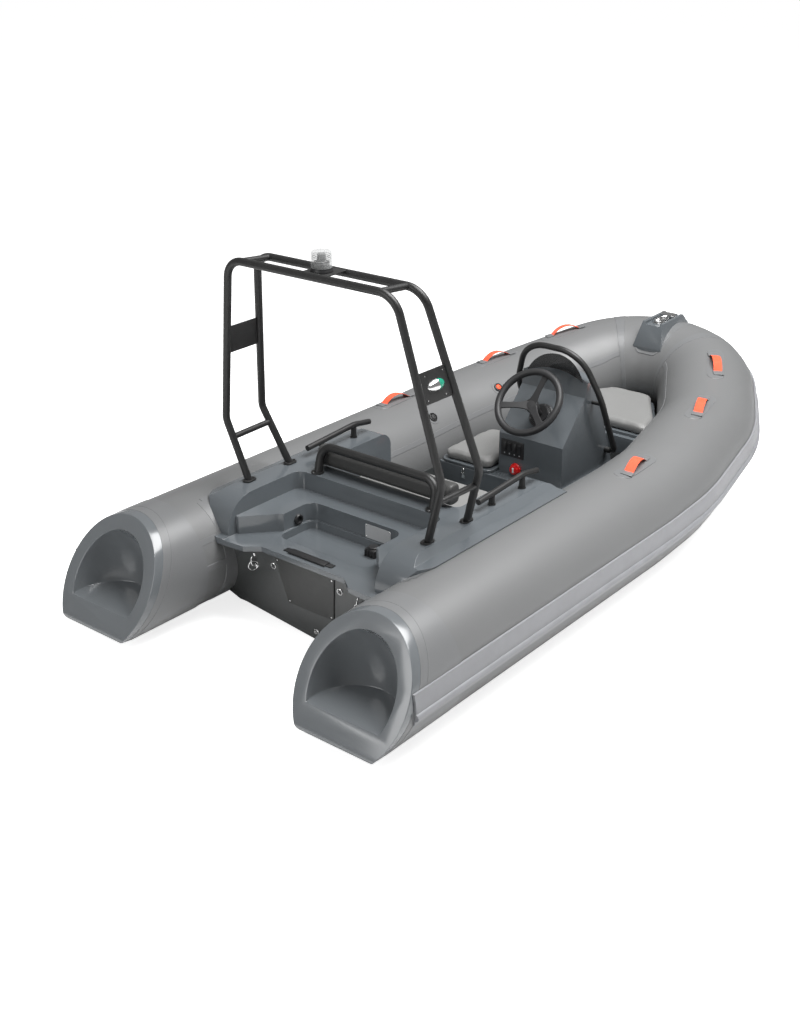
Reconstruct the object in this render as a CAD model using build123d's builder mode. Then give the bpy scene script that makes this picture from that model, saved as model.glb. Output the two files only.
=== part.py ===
"""Rigid inflatable boat: moulded V hull, inflated collar, steering console and stern arch.

Millimetres.  +X is starboard, +Y is the bow, +Z is up.  The origin lies on the floor under
the keel, half-way along the boat.
"""
from build123d import *
from math import atan2, cos, degrees, radians, sin, tan
import os

os.makedirs("parts", exist_ok=True)

# ---------------------------------------------------------------- driving dimensions
fit = 0.3                       # gap left between pieces made separately

# inflated collar
tube_r = 251.0
tube_x = 662.0                  # axis of each side tube from the centreline
tube_z = 268.0
tube_aft_y = -1570.0            # where the fabric meets the moulded end cone
collar_bends = [
    # x, y, rise above the side tube, bend radius
    (tube_x, 93.0, 0.0, 3000.0),
    (tube_x - 7.0, 443.0, 14.0, 1600.0),
    (tube_x - 121.0, 1093.0, 66.0, 800.0),
    (tube_x - 409.0, 1617.0, 191.0, 400.0),
]
seam_run = 3250.0               # length along the tube from its aft end to the chamber seam

# moulded end cones
cone_aft_y = -1890.0
cone_face_y = -1781.0           # where the sloping face crosses the tube axis
cone_face_lean = 31.6
cone_sole_z = 92.0              # flat lip under the face
cone_ramp_run = 190.0
cone_edge_r = 18.0
cone_step_z = 183.0
niche_size = (190.0, 195.0, 245.0)  # half-axes of the hollow, centred where the face crosses the axis

# rub rail
rail_half_height = 62.0
rail_thickness = 9.0
rail_ridge_r = 15.0
rail_drop = 30.0                # ridge below the middle of the rail
rail_aft_y = -1735.0

# hull
hull_sections = [
    # y, keel z, chine x, chine z, side x, side z
    (-1248.0, 0.0, 440.0, 50.0, 560.0, 98.0),
    (93.0, 0.0, 440.0, 52.0, 560.0, 100.0),
    (650.0, 4.0, 418.0, 64.0, 535.0, 112.0),
    (830.0, 14.0, 396.0, 78.0, 515.0, 126.0),
    (1093.0, 56.0, 330.0, 130.0, 440.0, 176.0),
    (1400.0, 136.0, 190.0, 186.0, 300.0, 220.0),
    (1590.0, 216.0, 60.0, 230.0, 120.0, 240.0),
]
chine_flat = 40.0
hull_top_z = 250.0
sole_z = 104.0
sole_thickness = 8.0
side_gap = 11.0                 # cockpit side wall stands this far inside the tube
transom_aft_y = -1305.0         # outer face of the transom board at its top
transom_rake = 8.9
transom_thickness = 60.0
transom_top_z = 366.0

# stern moulding
deck_z = 550.0
deck_outer_x = 596.0
deck_flat_x = 516.0
deck_ledge_x = 546.0            # foot of the shoulder; a low ledge runs out from here to the tube
deck_ledge_z = (521.0, 516.0)
deck_fwd_round = 70.0
deck_corner_r = 150.0
deck_fwd_y = -290.0
deck_inner_x = 400.0
stern_plan = [
    # x, y of the aft edge from the centreline outwards
    (228.0, -1318.0),
    (288.0, -1365.0),
    (430.0, -1377.0),
]
deck_aft_round = 150.0
ledge_aft_y = -900.0
ledge_fwd_y = -790.0
shelf_z = 470.0
stern_flat_z = 390.0
well_z = 355.0
stern_flat_plan = [(385.0, -1290.0), (262.0, -1152.0)]  # its forward edge, from the side wall inwards
stern_flat_r = 45.0
well_half_x = 255.0
well_aft_y = -1205.0
well_fwd_y = -981.0
bench_z = 372.0
bench_half_x = 385.0

# soft pieces
bench_cushion_t = 48.0
cushion_t = 50.0
cushion_edge_r = 14.0
cushion_inset = 5.0             # lids show this much round their cushions

# stern arch
arch_tube_r = 16.0
arch_foot_size = (66.0, 40.0)
arch_foot_t = 7.0
arch_bend_r = 95.0
arch_knee_r = 70.0
aft_hoop = [(485.0, -1118.0, deck_z), (575.0, -1147.0, 822.0), (421.0, -1229.0, 1544.0)]
fwd_hoop = [(485.0, -866.0, deck_z), (585.0, -923.0, 815.0), (421.0, -1069.0, 1531.0)]
arch_tie_z = 741.0
arch_plate_top_z = 1249.0
arch_plate_foot_z = 1128.0
arch_plate_t = 4.0
arch_top_tie_x = 350.0
light_shelf_half_x = 62.0
light_shelf_t = 5.0
light_r = 44.0
light_base_t = 16.0
light_height = 80.0

# backrest
back_hoop_r = 19.0
back_foot_x = 315.0
back_foot_y = -872.0
back_rise = 118.0
back_lean = 34.0
back_bend_r = 60.0
bolster_bite = 6.0              # the bar presses this far into the bolster
bolster_half_x = 372.0
bolster_r = 41.0                # half its depth, fore and aft
bolster_height = 104.0
bolster_corner_r = 28.0
bolster_foot_z = deck_z + 0.4

# grab rails on the side decks
grab_r = 13.0
grab_x = 470.0
grab_post_ys = (-673.0, -455.0)
grab_line = [(-768.0, 592.0), (-452.0, 611.0), (-345.0, 594.0)]   # y and z along the rail
grab_bend_r = 150.0

# forward box, console and helm
box_aft_y = 104.0
box_fwd_y = 640.0
box_z = 276.0
box_stbd_x = 290.0
box_wall = 14.0
box_corner_r = 30.0
lid_corner_r = 38.0
console_port_x = -85.0
console_stbd_x = 274.0
console_aft_y = 167.0
console_dash_z = 480.0
console_fold_y = 344.0
console_fold_z = 680.0
console_crest_y = 362.0
console_crest_z = 800.0
console_shoulder_z = 750.0
console_back_y = 404.0
console_fwd_y = 622.0
screen_height = 56.0
screen_t = 4.0
screen_inset = 24.0
screen_lap = 14.0               # the screen overlaps the panel by this much
wheel_r = 156.5
wheel_rim_r = 18.0
wheel_hub_r = 34.0
wheel_standoff = 154.0
wheel_run = 130.0               # helm centre up the dash from its lower edge
column_r = 17.0
bezel_r = 62.0
bezel_t = 30.0
hoop_rail_r = 14.5
hoop_rail_half_x = 234.0
switch_panel_size = (130.0, 84.0)
switch_panel_z = 412.0
knob_r = 23.0
knob_z = 312.0

# lids
lid_t = 14.0
port_lid_fwd_y = 510.0
lid_side_gap = 4.0

# bow locker
bow_locker_aft_y = 790.0
bow_locker_z = 338.0
bow_lid_aft_y = 818.0
bow_lid_fwd_y = 1300.0
bow_lid_straight = 110.0        # the lid keeps its full width this far from its aft edge
bow_lid_half_aft = 352.0
bow_lid_half_fwd = 120.0
bow_lid_corner_r = 42.0
bow_lid_ledge = 26.0
bow_room_z = 172.0              # floor of the storage space under the lid
bow_room_fwd_y = 1130.0

# bow bracket
bow_y = collar_bends[-1][1]      # axis of the tube across the bow
bow_crown_z = tube_z + collar_bends[-1][2] + tube_r
bracket_profile = [(bow_y + y, bow_crown_z + z) for y, z in (
    # ahead of the bow tube's axis, above its crown
    (-215.0, -150.0), (-215.0, -98.0), (-165.0, 26.0), (57.0, 32.0), (105.0, -20.0), (105.0, -150.0))]
bracket_half_foot = 92.0        # at the lowest point of the profile
bracket_half_top = 59.0
bracket_wall = 15.0             # each side of the channel along its top
bracket_channel = 20.0

# tube fittings: length along the tube from its aft end
handle_places = ((1690.0, 2.8), (2460.0, 1.95), (2955.0, 1.95))  # run and lift off the skin
handle_length = 205.0
handle_width = 44.0
handle_rise = 34.0
handle_t = 3.0
handle_tab = 26.0               # flat end of the webbing, bonded to the tube
handle_angle = 84.0
handle_turn = 8.0               # each band is turned inboard at its forward end
valve_runs = (1750.0, 2280.0)
valve_angle = 132.0
valve_r = 24.0
valve_t = 10.0
valve_seat = 0.5

# ---------------------------------------------------------------- shared lines and helpers
mid_x = (console_port_x + console_stbd_x) / 2
face_lean = tan(radians(cone_face_lean))
half_axis = [(x, y, tube_z + rise) for x, y, rise, radius in collar_bends]
half_radii = [radius for x, y, rise, radius in collar_bends]


def flip(points):
    """Mirror points across the centreline, in reverse order."""
    return [(-p[0],) + tuple(p[1:]) for p in reversed(points)]


def axis_wire(aft_y, whole=True):
    """Axis of the collar from aft_y: all of it, or the starboard half up to the bow."""
    start = [(tube_x, aft_y, tube_z)] + half_axis
    bow = (0.0, half_axis[-1][1], half_axis[-1][2])
    points = start + flip(start) if whole else start + [bow]
    radii = half_radii + half_radii[::-1] if whole else half_radii
    with BuildLine() as line:
        FilletPolyline(*points, radius=radii)
    return line.line if isinstance(line.line, Wire) else Wire(line.edges())


collar_axis = axis_wire(tube_aft_y)
half_collar_axis = axis_wire(tube_aft_y, whole=False)


def tube_on(path, radius):
    """Add a round bar along a path to the part being built."""
    with BuildSketch(Plane(origin=path @ 0, z_dir=path % 0)) as section:
        Circle(radius)
    sweep(section.sketch, path=path)


def bent_tube(points, bend_radii, radius):
    """Add a round bar along a polyline with rounded corners."""
    with BuildLine() as line:
        FilletPolyline(*points, radius=bend_radii)
    tube_on(line.line if isinstance(line.line, Wire) else Wire(line.edges()), radius)


def straight_tube(start, end, radius):
    """Add a straight round bar between two points."""
    with BuildLine() as line:
        Line(start, end)
    tube_on(Wire(line.edges()), radius)


def skin_plane(run, angle, lift=0.0):
    """Plane on the starboard tube: x along the tube, z straight out of its skin."""
    point = half_collar_axis.position_at(run, position_mode=PositionMode.LENGTH)
    along = half_collar_axis.tangent_at(run, position_mode=PositionMode.LENGTH)
    across = along.cross(Vector(0, 0, 1)).normalized()
    above = across.cross(along)
    out = across * cos(radians(angle)) + above * sin(radians(angle))
    return Plane(origin=point + out * (tube_r + lift), x_dir=along, z_dir=out)


def block(x_range, y_range, z_range, corner_r=0.0, mode=Mode.ADD):
    """Add or cut an upright block between limits, with rounded vertical corners."""
    x_size = x_range[1] - x_range[0]
    y_size = y_range[1] - y_range[0]
    centre = ((x_range[0] + x_range[1]) / 2, (y_range[0] + y_range[1]) / 2)
    with BuildSketch(Plane.XY.offset(z_range[0])) as footprint:
        with Locations(centre):
            if corner_r > 0:
                RectangleRounded(x_size, y_size, corner_r)
            else:
                Rectangle(x_size, y_size)
    extrude(footprint.sketch, amount=z_range[1] - z_range[0], mode=mode)


def plan_inside(wall):
    """Add the plan outline of the space inside the collar, a wall in from the tube."""
    with BuildLine() as loop:
        plan = [(tube_x, tube_aft_y)] + [(p[0], p[1]) for p in half_axis]
        edge = FilletPolyline(*(plan + flip(plan)), radius=half_radii + half_radii[::-1])
        Line(edge @ 1, edge @ 0)
    make_face(loop.edges())
    offset(amount=-(tube_r + wall))


def bow_outline(inset, fwd_y=None):
    """Add the outline of the bow lid, drawn in by an inset and cut short at fwd_y."""
    end_y = bow_lid_fwd_y - inset if fwd_y is None else fwd_y
    share = (end_y - bow_lid_aft_y - bow_lid_straight) / (bow_lid_fwd_y - bow_lid_aft_y - bow_lid_straight)
    end_x = bow_lid_half_aft + (bow_lid_half_fwd - bow_lid_half_aft) * share - inset
    with BuildLine() as loop:
        half = [(bow_lid_half_aft - inset, bow_lid_aft_y + inset),
                (bow_lid_half_aft - inset, bow_lid_aft_y + bow_lid_straight),
                (end_x, end_y)]
        Polyline(*(half + flip(half)), close=True)
    make_face(loop.edges())


def bow_room_outline():
    """Add the outline of the storage space under the bow lid."""
    bow_outline(bow_lid_ledge, bow_room_fwd_y)


def save(part_builder, name):
    """Label a finished piece and write it."""
    part_builder.part.label = name
    export_step(part_builder.part, f"parts/{name}.step")


# ---------------------------------------------------------------- collar
with BuildPart() as collar_room:
    tube_on(collar_axis, tube_r + fit)

with BuildPart() as collar_whole:
    tube_on(collar_axis, tube_r)

seam_point = half_collar_axis.position_at(seam_run, position_mode=PositionMode.LENGTH)
seam_along = half_collar_axis.tangent_at(seam_run, position_mode=PositionMode.LENGTH)
seam_plane = Plane(origin=seam_point, z_dir=seam_along)

with BuildPart() as collar_starboard:
    add(collar_whole.part)
    split(bisect_by=Plane.YZ, keep=Keep.TOP)
    split(bisect_by=seam_plane, keep=Keep.BOTTOM)
save(collar_starboard, "collar_starboard")

with BuildPart() as collar_port:
    mirror(collar_starboard.part, about=Plane.YZ)
save(collar_port, "collar_port")

with BuildPart() as collar_bow:
    add(collar_whole.part)
    split(bisect_by=Plane.YZ, keep=Keep.TOP)
    split(bisect_by=seam_plane, keep=Keep.TOP)
    mirror(about=Plane.YZ)
save(collar_bow, "collar_bow")

# ---------------------------------------------------------------- end cones
face_normal = (0.0, -cos(radians(cone_face_lean)), sin(radians(cone_face_lean)))
cone_face = Plane(origin=(tube_x, cone_face_y, tube_z), z_dir=face_normal)
ramp_drop = cone_sole_z - (tube_z - tube_r)
ramp_normal = (0.0, -ramp_drop, -cone_ramp_run)
cone_ramp = Plane(origin=(tube_x, cone_aft_y, cone_sole_z), z_dir=ramp_normal)

with BuildPart() as cone_starboard:
    with BuildSketch(Plane.XZ.offset(-tube_aft_y)):
        with Locations((tube_x, tube_z)):
            Circle(tube_r)
    extrude(amount=tube_aft_y - cone_aft_y + tube_r)
    split(bisect_by=cone_face, keep=Keep.BOTTOM)
    split(bisect_by=cone_ramp, keep=Keep.BOTTOM)
    fillet(cone_starboard.faces().sort_by(Axis.Y)[0].edges(), radius=cone_edge_r)
    with BuildPart(mode=Mode.PRIVATE) as niche:
        Sphere(1.0)
        scale(by=niche_size)
        split(bisect_by=Plane.XY.offset(cone_step_z - tube_z), keep=Keep.TOP)
    add(niche.part.moved(Location((tube_x, cone_face_y, tube_z))), mode=Mode.SUBTRACT)
save(cone_starboard, "cone_starboard")

with BuildPart() as cone_port:
    mirror(cone_starboard.part, about=Plane.YZ)
save(cone_port, "cone_port")

# ---------------------------------------------------------------- rub rail
rail_axis = axis_wire(rail_aft_y, whole=False)
with BuildPart() as rub_rail_starboard:
    with BuildSketch(Plane(origin=rail_axis @ 0, x_dir=(1, 0, 0), z_dir=rail_axis % 0)):
        Circle(tube_r + rail_thickness)
        with Locations((tube_r, 0)):
            Rectangle(tube_r, 2 * rail_half_height, mode=Mode.INTERSECT)
        with Locations((tube_r + rail_thickness / 2, rail_drop)):
            Circle(rail_ridge_r)
        Circle(tube_r + fit, mode=Mode.SUBTRACT)
    sweep(path=rail_axis)
save(rub_rail_starboard, "rub_rail_starboard")

with BuildPart() as rub_rail_port:
    mirror(rub_rail_starboard.part, about=Plane.YZ)
save(rub_rail_port, "rub_rail_port")

# ---------------------------------------------------------------- hull and sole
with BuildPart() as hull:
    for y, keel_z, chine_x, chine_z, side_x, side_z in hull_sections:
        flat_x = chine_x - chine_flat
        half = [(0.0, keel_z), (flat_x, chine_z), (chine_x, chine_z), (side_x, side_z),
                (side_x, hull_top_z)]
        with BuildSketch(Plane.XZ.offset(-y)):
            with BuildLine():
                Polyline(*(half + flip(half[1:])), close=True)
            make_face()
    loft(ruled=True)
    with BuildSketch(Plane.XY.offset(sole_z - sole_thickness)):
        plan_inside(side_gap)
        with Locations((0.0, bow_locker_aft_y + 1500.0)):
            Rectangle(4 * tube_x, 3000.0, mode=Mode.SUBTRACT)
    extrude(amount=hull_top_z, mode=Mode.SUBTRACT)
    with BuildSketch(Plane.XY.offset(bow_room_z)):
        bow_room_outline()
    extrude(amount=hull_top_z, mode=Mode.SUBTRACT)
    y, keel_z, chine_x, chine_z, side_x, side_z = hull_sections[0]
    flat_x = chine_x - chine_flat
    board = [(0.0, keel_z), (flat_x, chine_z), (chine_x, chine_z), (side_x, side_z),
             (side_x, transom_top_z)]
    board_run = (transom_top_z - keel_z) * tan(radians(transom_rake))
    with BuildSketch(Plane.XZ.offset(-(transom_aft_y + transom_thickness + board_run))):
        with BuildLine():
            Polyline(*(board + flip(board[1:])), close=True)
        make_face()
    extrude(amount=transom_thickness + board_run)
    rake_normal = (0.0, -cos(radians(transom_rake)), -sin(radians(transom_rake)))
    transom_face = Plane(origin=(0.0, transom_aft_y, transom_top_z), z_dir=rake_normal)
    split(bisect_by=transom_face, keep=Keep.BOTTOM)
    add(collar_room.part, mode=Mode.SUBTRACT)
transom_inner_y = transom_aft_y + transom_thickness + board_run
save(hull, "hull")

with BuildPart() as sole:
    with BuildSketch(Plane.XY.offset(sole_z - sole_thickness + fit)):
        plan_inside(side_gap + fit)
        with Locations((0.0, deck_fwd_y + fit - 1500.0)):
            Rectangle(4 * tube_x, 3000.0, mode=Mode.SUBTRACT)
        with Locations((0.0, bow_locker_aft_y - fit + 1500.0)):
            Rectangle(4 * tube_x, 3000.0, mode=Mode.SUBTRACT)
    extrude(amount=sole_thickness - fit)
save(sole, "sole")

# ---------------------------------------------------------------- stern moulding
core_z = sole_z - sole_thickness + fit
inner_x = tube_x - tube_r - side_gap - fit
lip_z = transom_top_z + fit
outline = [stern_plan[0], stern_plan[1], stern_plan[2], (deck_outer_x, stern_plan[2][1]),
           (deck_outer_x, deck_fwd_y)]
with BuildPart() as stern_deck:
    block((-inner_x, inner_x), (transom_inner_y + fit, deck_fwd_y), (core_z, lip_z))
    with BuildSketch(Plane.XY.offset(lip_z)):
        with BuildLine():
            Polyline(*(outline + flip(outline)), close=True)
        make_face()
    extrude(amount=deck_z - lip_z)
    for side in (1, -1):
        with BuildSketch(Plane.XZ.offset(-deck_fwd_y)) as outer_step:
            with BuildLine():
                edge = deck_outer_x + 1
                Polyline((side * deck_flat_x, deck_z + 1), (side * deck_flat_x, deck_z),
                         (side * deck_ledge_x, deck_ledge_z[0]), (side * edge, deck_ledge_z[1]),
                         (side * edge, deck_z + 1), close=True)
            make_face()
        extrude(amount=deck_fwd_y - stern_plan[2][1] + 1, mode=Mode.SUBTRACT)
    # the side decks roll down at both ends
    nose_y = stern_plan[2][1] + 40.0
    low_z = stern_flat_z + 5.0
    with BuildPart(mode=Mode.PRIVATE) as end_rounds:
        with BuildSketch(Plane.YZ.offset(-deck_outer_x - 1)):
            with BuildLine():
                up = (nose_y, deck_z - deck_aft_round)
                over = (nose_y + deck_aft_round, deck_z)
                Line((nose_y, low_z), up)
                TangentArc(up, over, tangent=(0, 1))
                Polyline(over, (over[0], deck_z + 1), (nose_y - 60.0, deck_z + 1),
                         (nose_y - 60.0, low_z), (nose_y, low_z))
            make_face()
            with BuildLine():
                over = (deck_fwd_y - deck_fwd_round, deck_z)
                down = (deck_fwd_y, deck_z - deck_fwd_round)
                TangentArc(over, down, tangent=(1, 0))
                Polyline(down, (deck_fwd_y + 1, down[1]), (deck_fwd_y + 1, deck_z + 1),
                         (over[0], deck_z + 1), over)
            make_face()
        extrude(amount=2 * deck_outer_x + 2)
        for side in (1, -1):
            with BuildSketch(Plane.XY.offset(low_z)):
                with Locations((side * (deck_outer_x + 1 - deck_corner_r / 2),
                                nose_y - 1 + deck_corner_r / 2)):
                    Rectangle(deck_corner_r, deck_corner_r)
                with Locations((side * (deck_outer_x + 1 - deck_corner_r), nose_y - 1 + deck_corner_r)):
                    Circle(deck_corner_r, mode=Mode.SUBTRACT)
            extrude(amount=deck_z + 1 - low_z)
    add(end_rounds.part, mode=Mode.SUBTRACT)
    block((-bench_half_x, bench_half_x), (ledge_fwd_y, deck_fwd_y + 100), (bench_z, deck_z + 1), 30,
          Mode.SUBTRACT)
    block((-deck_inner_x, deck_inner_x), (-1500, ledge_aft_y), (shelf_z, deck_z + 1), 45, Mode.SUBTRACT)
    with BuildSketch(Plane.XY.offset(stern_flat_z)) as flat_plan:
        half = [(deck_inner_x, -1500.0), (deck_inner_x, stern_flat_plan[0][1])] + stern_flat_plan
        with BuildLine():
            Polyline(*(half + flip(half)), close=True)
        make_face()
        fillet(flat_plan.vertices().filter_by_position(Axis.X, -300, 300), radius=stern_flat_r)
    extrude(amount=deck_z - stern_flat_z, mode=Mode.SUBTRACT)
    block((-well_half_x, well_half_x), (-1500, well_fwd_y), (stern_flat_z, deck_z), 50, Mode.SUBTRACT)
    block((-well_half_x + 12, well_half_x - 12), (well_aft_y, well_fwd_y - 12), (well_z, deck_z), 40,
          Mode.SUBTRACT)
    add(collar_room.part, mode=Mode.SUBTRACT)
save(stern_deck, "stern_deck")

# ---------------------------------------------------------------- transom fittings
rake = radians(transom_rake)
transom_plane = Plane(origin=(0.0, transom_aft_y, transom_top_z), x_dir=(1, 0, 0),
                      z_dir=rake_normal)
plate_top, plate_foot = 2.0, 222.0
plate_half_top, plate_half_foot, plate_t = 164.0, 126.0, 5.0
with BuildPart() as motor_plate:
    with BuildSketch(transom_plane.offset(fit)):
        with BuildLine():
            Polyline((-plate_half_top, -plate_top), (plate_half_top, -plate_top),
                     (plate_half_foot, -plate_foot), (-plate_half_foot, -plate_foot), close=True)
        make_face()
    extrude(amount=plate_t)
save(motor_plate, "motor_plate")

strip_half_x, strip_depth, strip_t = 131.0, 36.0, 9.0
with BuildPart() as clamp_strip:
    block((-strip_half_x, strip_half_x),
          (stern_plan[0][1] + 22, stern_plan[0][1] + 22 + strip_depth),
          (stern_flat_z + fit, stern_flat_z + fit + strip_t), 5)
save(clamp_strip, "clamp_strip")

ring_x, ring_down, ring_r, ring_bar_r = 292.0, 66.0, 27.0, 4.0
with BuildPart() as towing_rings:
    for side in (1, -1):
        with BuildSketch(transom_plane.offset(fit)):
            with Locations((side * ring_x, -ring_down)):
                with Locations((0, ring_r), (0, -ring_r)):
                    Circle(ring_bar_r + 4)
        extrude(amount=4)
        centre = Plane(origin=transom_plane.from_local_coords((side * ring_x, -ring_down, fit + 2)),
                       x_dir=transom_plane.y_dir, z_dir=(-1, 0, 0))
        with BuildLine(centre) as bail:
            CenterArc((0, 0), ring_r, 180, 180)
        tube_on(Wire(bail.edges()), ring_bar_r)
save(towing_rings, "towing_rings")

drain_x, drain_down, drain_r = 184.0, 59.0, 16.0
with BuildPart() as drain_sockets:
    for side in (1, -1):
        with BuildSketch(transom_plane.offset(fit)):
            with Locations((side * drain_x, -drain_down)):
                Circle(drain_r)
                Circle(drain_r - 5, mode=Mode.SUBTRACT)
        extrude(amount=4)
save(drain_sockets, "drain_sockets")

# ---------------------------------------------------------------- bench and backrest
with BuildPart() as bench_cushion:
    block((-bench_half_x + 8, bench_half_x - 8), (ledge_fwd_y + 3, deck_fwd_y - 20),
          (bench_z + fit, bench_z + fit + bench_cushion_t), 40)
    fillet(bench_cushion.faces().sort_by(Axis.Z)[-1].edges(), radius=cushion_edge_r)
save(bench_cushion, "bench_cushion")

back_top_z = deck_z + back_rise
back_top_y = back_foot_y + back_lean
back_leg = [(back_foot_x, back_foot_y, deck_z - back_hoop_r), (back_foot_x, back_top_y, back_top_z)]
with BuildPart() as backrest_room:
    bent_tube(back_leg + flip(back_leg), [back_bend_r, back_bend_r], back_hoop_r + fit)

with BuildPart() as backrest_hoop:
    bent_tube(back_leg + flip(back_leg), [back_bend_r, back_bend_r], back_hoop_r)
    split(bisect_by=Plane.XY.offset(deck_z + fit), keep=Keep.TOP)
    for side in (1, -1):
        with BuildSketch(Plane.XY.offset(deck_z + fit)):
            with Locations((side * back_foot_x, back_foot_y)):
                Circle(back_hoop_r + 9)
        extrude(amount=6)
save(backrest_hoop, "backrest_hoop")

bolster_y = back_top_y + back_hoop_r + bolster_r - bolster_bite
with BuildPart() as backrest_bolster:
    with BuildSketch(Plane.YZ.offset(-bolster_half_x)):
        with Locations((bolster_y, bolster_foot_z + bolster_height / 2)):
            RectangleRounded(2 * bolster_r, bolster_height, bolster_corner_r)
    extrude(amount=2 * bolster_half_x)
    fillet(backrest_bolster.edges().group_by(Axis.X)[0], radius=12)
    fillet(backrest_bolster.edges().group_by(Axis.X)[-1], radius=12)
    add(backrest_room.part, mode=Mode.SUBTRACT)
save(backrest_bolster, "backrest_bolster")

# ---------------------------------------------------------------- grab rails
with BuildPart() as grab_rail_starboard:
    bent_tube([(grab_x, y, z) for y, z in grab_line], [grab_bend_r], grab_r)
    for post_y in grab_post_ys:
        share = (post_y - grab_line[0][0]) / (grab_line[1][0] - grab_line[0][0])
        post_z = grab_line[0][1] + share * (grab_line[1][1] - grab_line[0][1]) - 2.0
        straight_tube((grab_x, post_y, deck_z + fit), (grab_x, post_y, post_z), grab_r)
        with BuildSketch(Plane.XY.offset(deck_z + fit)):
            with Locations((grab_x, post_y)):
                Circle(grab_r + 4)
        extrude(amount=4)
save(grab_rail_starboard, "grab_rail_starboard")

with BuildPart() as grab_rail_port:
    mirror(grab_rail_starboard.part, about=Plane.YZ)
save(grab_rail_port, "grab_rail_port")

# ---------------------------------------------------------------- stern arch
foot_top = deck_z + fit + arch_foot_t


def hoop_leg(hoop):
    """Points of one leg of a hoop, starting inside the thickness of its foot plate."""
    foot, knee, top = hoop
    return [(foot[0], foot[1], deck_z - arch_foot_t), knee, top]


def along_leg(hoop, z):
    """Point on the leg of a hoop at a height."""
    foot, knee, top = hoop_leg(hoop)
    low, high = (foot, knee) if z < knee[2] else (knee, top)
    share = (z - low[2]) / (high[2] - low[2])
    return tuple(a + (b - a) * share for a, b in zip(low, high))


def hoop_points(hoop):
    """Points of a whole hoop, starboard foot to port foot."""
    leg = hoop_leg(hoop)
    return leg + flip(leg)


hoop_bends = [arch_knee_r, arch_bend_r, arch_bend_r, arch_knee_r]
with BuildPart() as hoop_room:
    for hoop in (aft_hoop, fwd_hoop):
        bent_tube(hoop_points(hoop), hoop_bends, arch_tube_r + fit)

for name, hoop in (("arch_hoop_aft", aft_hoop), ("arch_hoop_forward", fwd_hoop)):
    with BuildPart() as arch_hoop:
        bent_tube(hoop_points(hoop), hoop_bends, arch_tube_r)
        split(bisect_by=Plane.XY.offset(foot_top), keep=Keep.TOP)
    save(arch_hoop, name)

with BuildPart() as arch_feet:
    for hoop in (aft_hoop, fwd_hoop):
        for side in (1, -1):
            with BuildSketch(Plane.XY.offset(deck_z + fit)):
                with Locations((side * hoop[0][0], hoop[0][1])):
                    SlotOverall(*arch_foot_size, rotation=90)
            extrude(amount=arch_foot_t - fit)
save(arch_feet, "arch_feet")

with BuildPart() as arch_ties:
    for side in (1, -1):
        start, end = along_leg(aft_hoop, arch_tie_z), along_leg(fwd_hoop, arch_tie_z)
        straight_tube((side * start[0], start[1], start[2]), (side * end[0], end[1], end[2]),
                      arch_tube_r - 3)
        straight_tube((side * arch_top_tie_x, aft_hoop[2][1], aft_hoop[2][2]),
                      (side * arch_top_tie_x, fwd_hoop[2][1], fwd_hoop[2][2]), arch_tube_r - 3)
    add(hoop_room.part, mode=Mode.SUBTRACT)
save(arch_ties, "arch_ties")


def side_plate_sketch_plane(side):
    """Plane through the two hoop legs on one side, facing outboard."""
    low_aft, high_aft = along_leg(aft_hoop, arch_plate_foot_z), along_leg(aft_hoop, arch_plate_top_z)
    low_fwd = along_leg(fwd_hoop, arch_plate_foot_z)
    up = Vector(*high_aft) - Vector(*low_aft)
    forward = Vector(*low_fwd) - Vector(*low_aft)
    normal = forward.cross(up).normalized()
    plane = Plane(origin=low_aft, x_dir=forward, z_dir=normal)
    return plane


plate_plane = side_plate_sketch_plane(1)
plate_corners = [(aft_hoop, arch_plate_foot_z), (fwd_hoop, arch_plate_foot_z),
                 (fwd_hoop, arch_plate_top_z), (aft_hoop, arch_plate_top_z)]
plate_points = [plate_plane.to_local_coords(Vector(*along_leg(hoop, z))) for hoop, z in plate_corners]
with BuildPart() as arch_plates:
    with BuildSketch(plate_plane.offset(-arch_plate_t / 2)):
        with BuildLine():
            Polyline(*[(point.X, point.Y) for point in plate_points], close=True)
        make_face()
    extrude(amount=arch_plate_t)
    add(hoop_room.part, mode=Mode.SUBTRACT)
    mirror(about=Plane.YZ)
save(arch_plates, "arch_plates")

top_aft, top_fwd = aft_hoop[2], fwd_hoop[2]
top_mid_y = (top_aft[1] + top_fwd[1]) / 2
shelf_top_z = (top_aft[2] + top_fwd[2]) / 2 + arch_tube_r / 2
with BuildPart() as light_shelf:
    block((-light_shelf_half_x, light_shelf_half_x), (top_aft[1], top_fwd[1]),
          (shelf_top_z - light_shelf_t, shelf_top_z))
    add(hoop_room.part, mode=Mode.SUBTRACT)
save(light_shelf, "light_shelf")

with BuildPart() as masthead_base:
    with BuildSketch(Plane.XY.offset(shelf_top_z + fit)):
        with Locations((0, top_mid_y)):
            Circle(light_r)
    extrude(amount=light_base_t)
save(masthead_base, "masthead_base")

with BuildPart() as masthead_lens:
    with BuildSketch(Plane.XY.offset(shelf_top_z + light_base_t + 2 * fit)):
        with Locations((0, top_mid_y)):
            Circle(light_r - 3)
    extrude(amount=light_height - light_base_t)
    fillet(masthead_lens.faces().sort_by(Axis.Z)[-1].edges(), radius=8)
save(masthead_lens, "masthead_lens")

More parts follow.
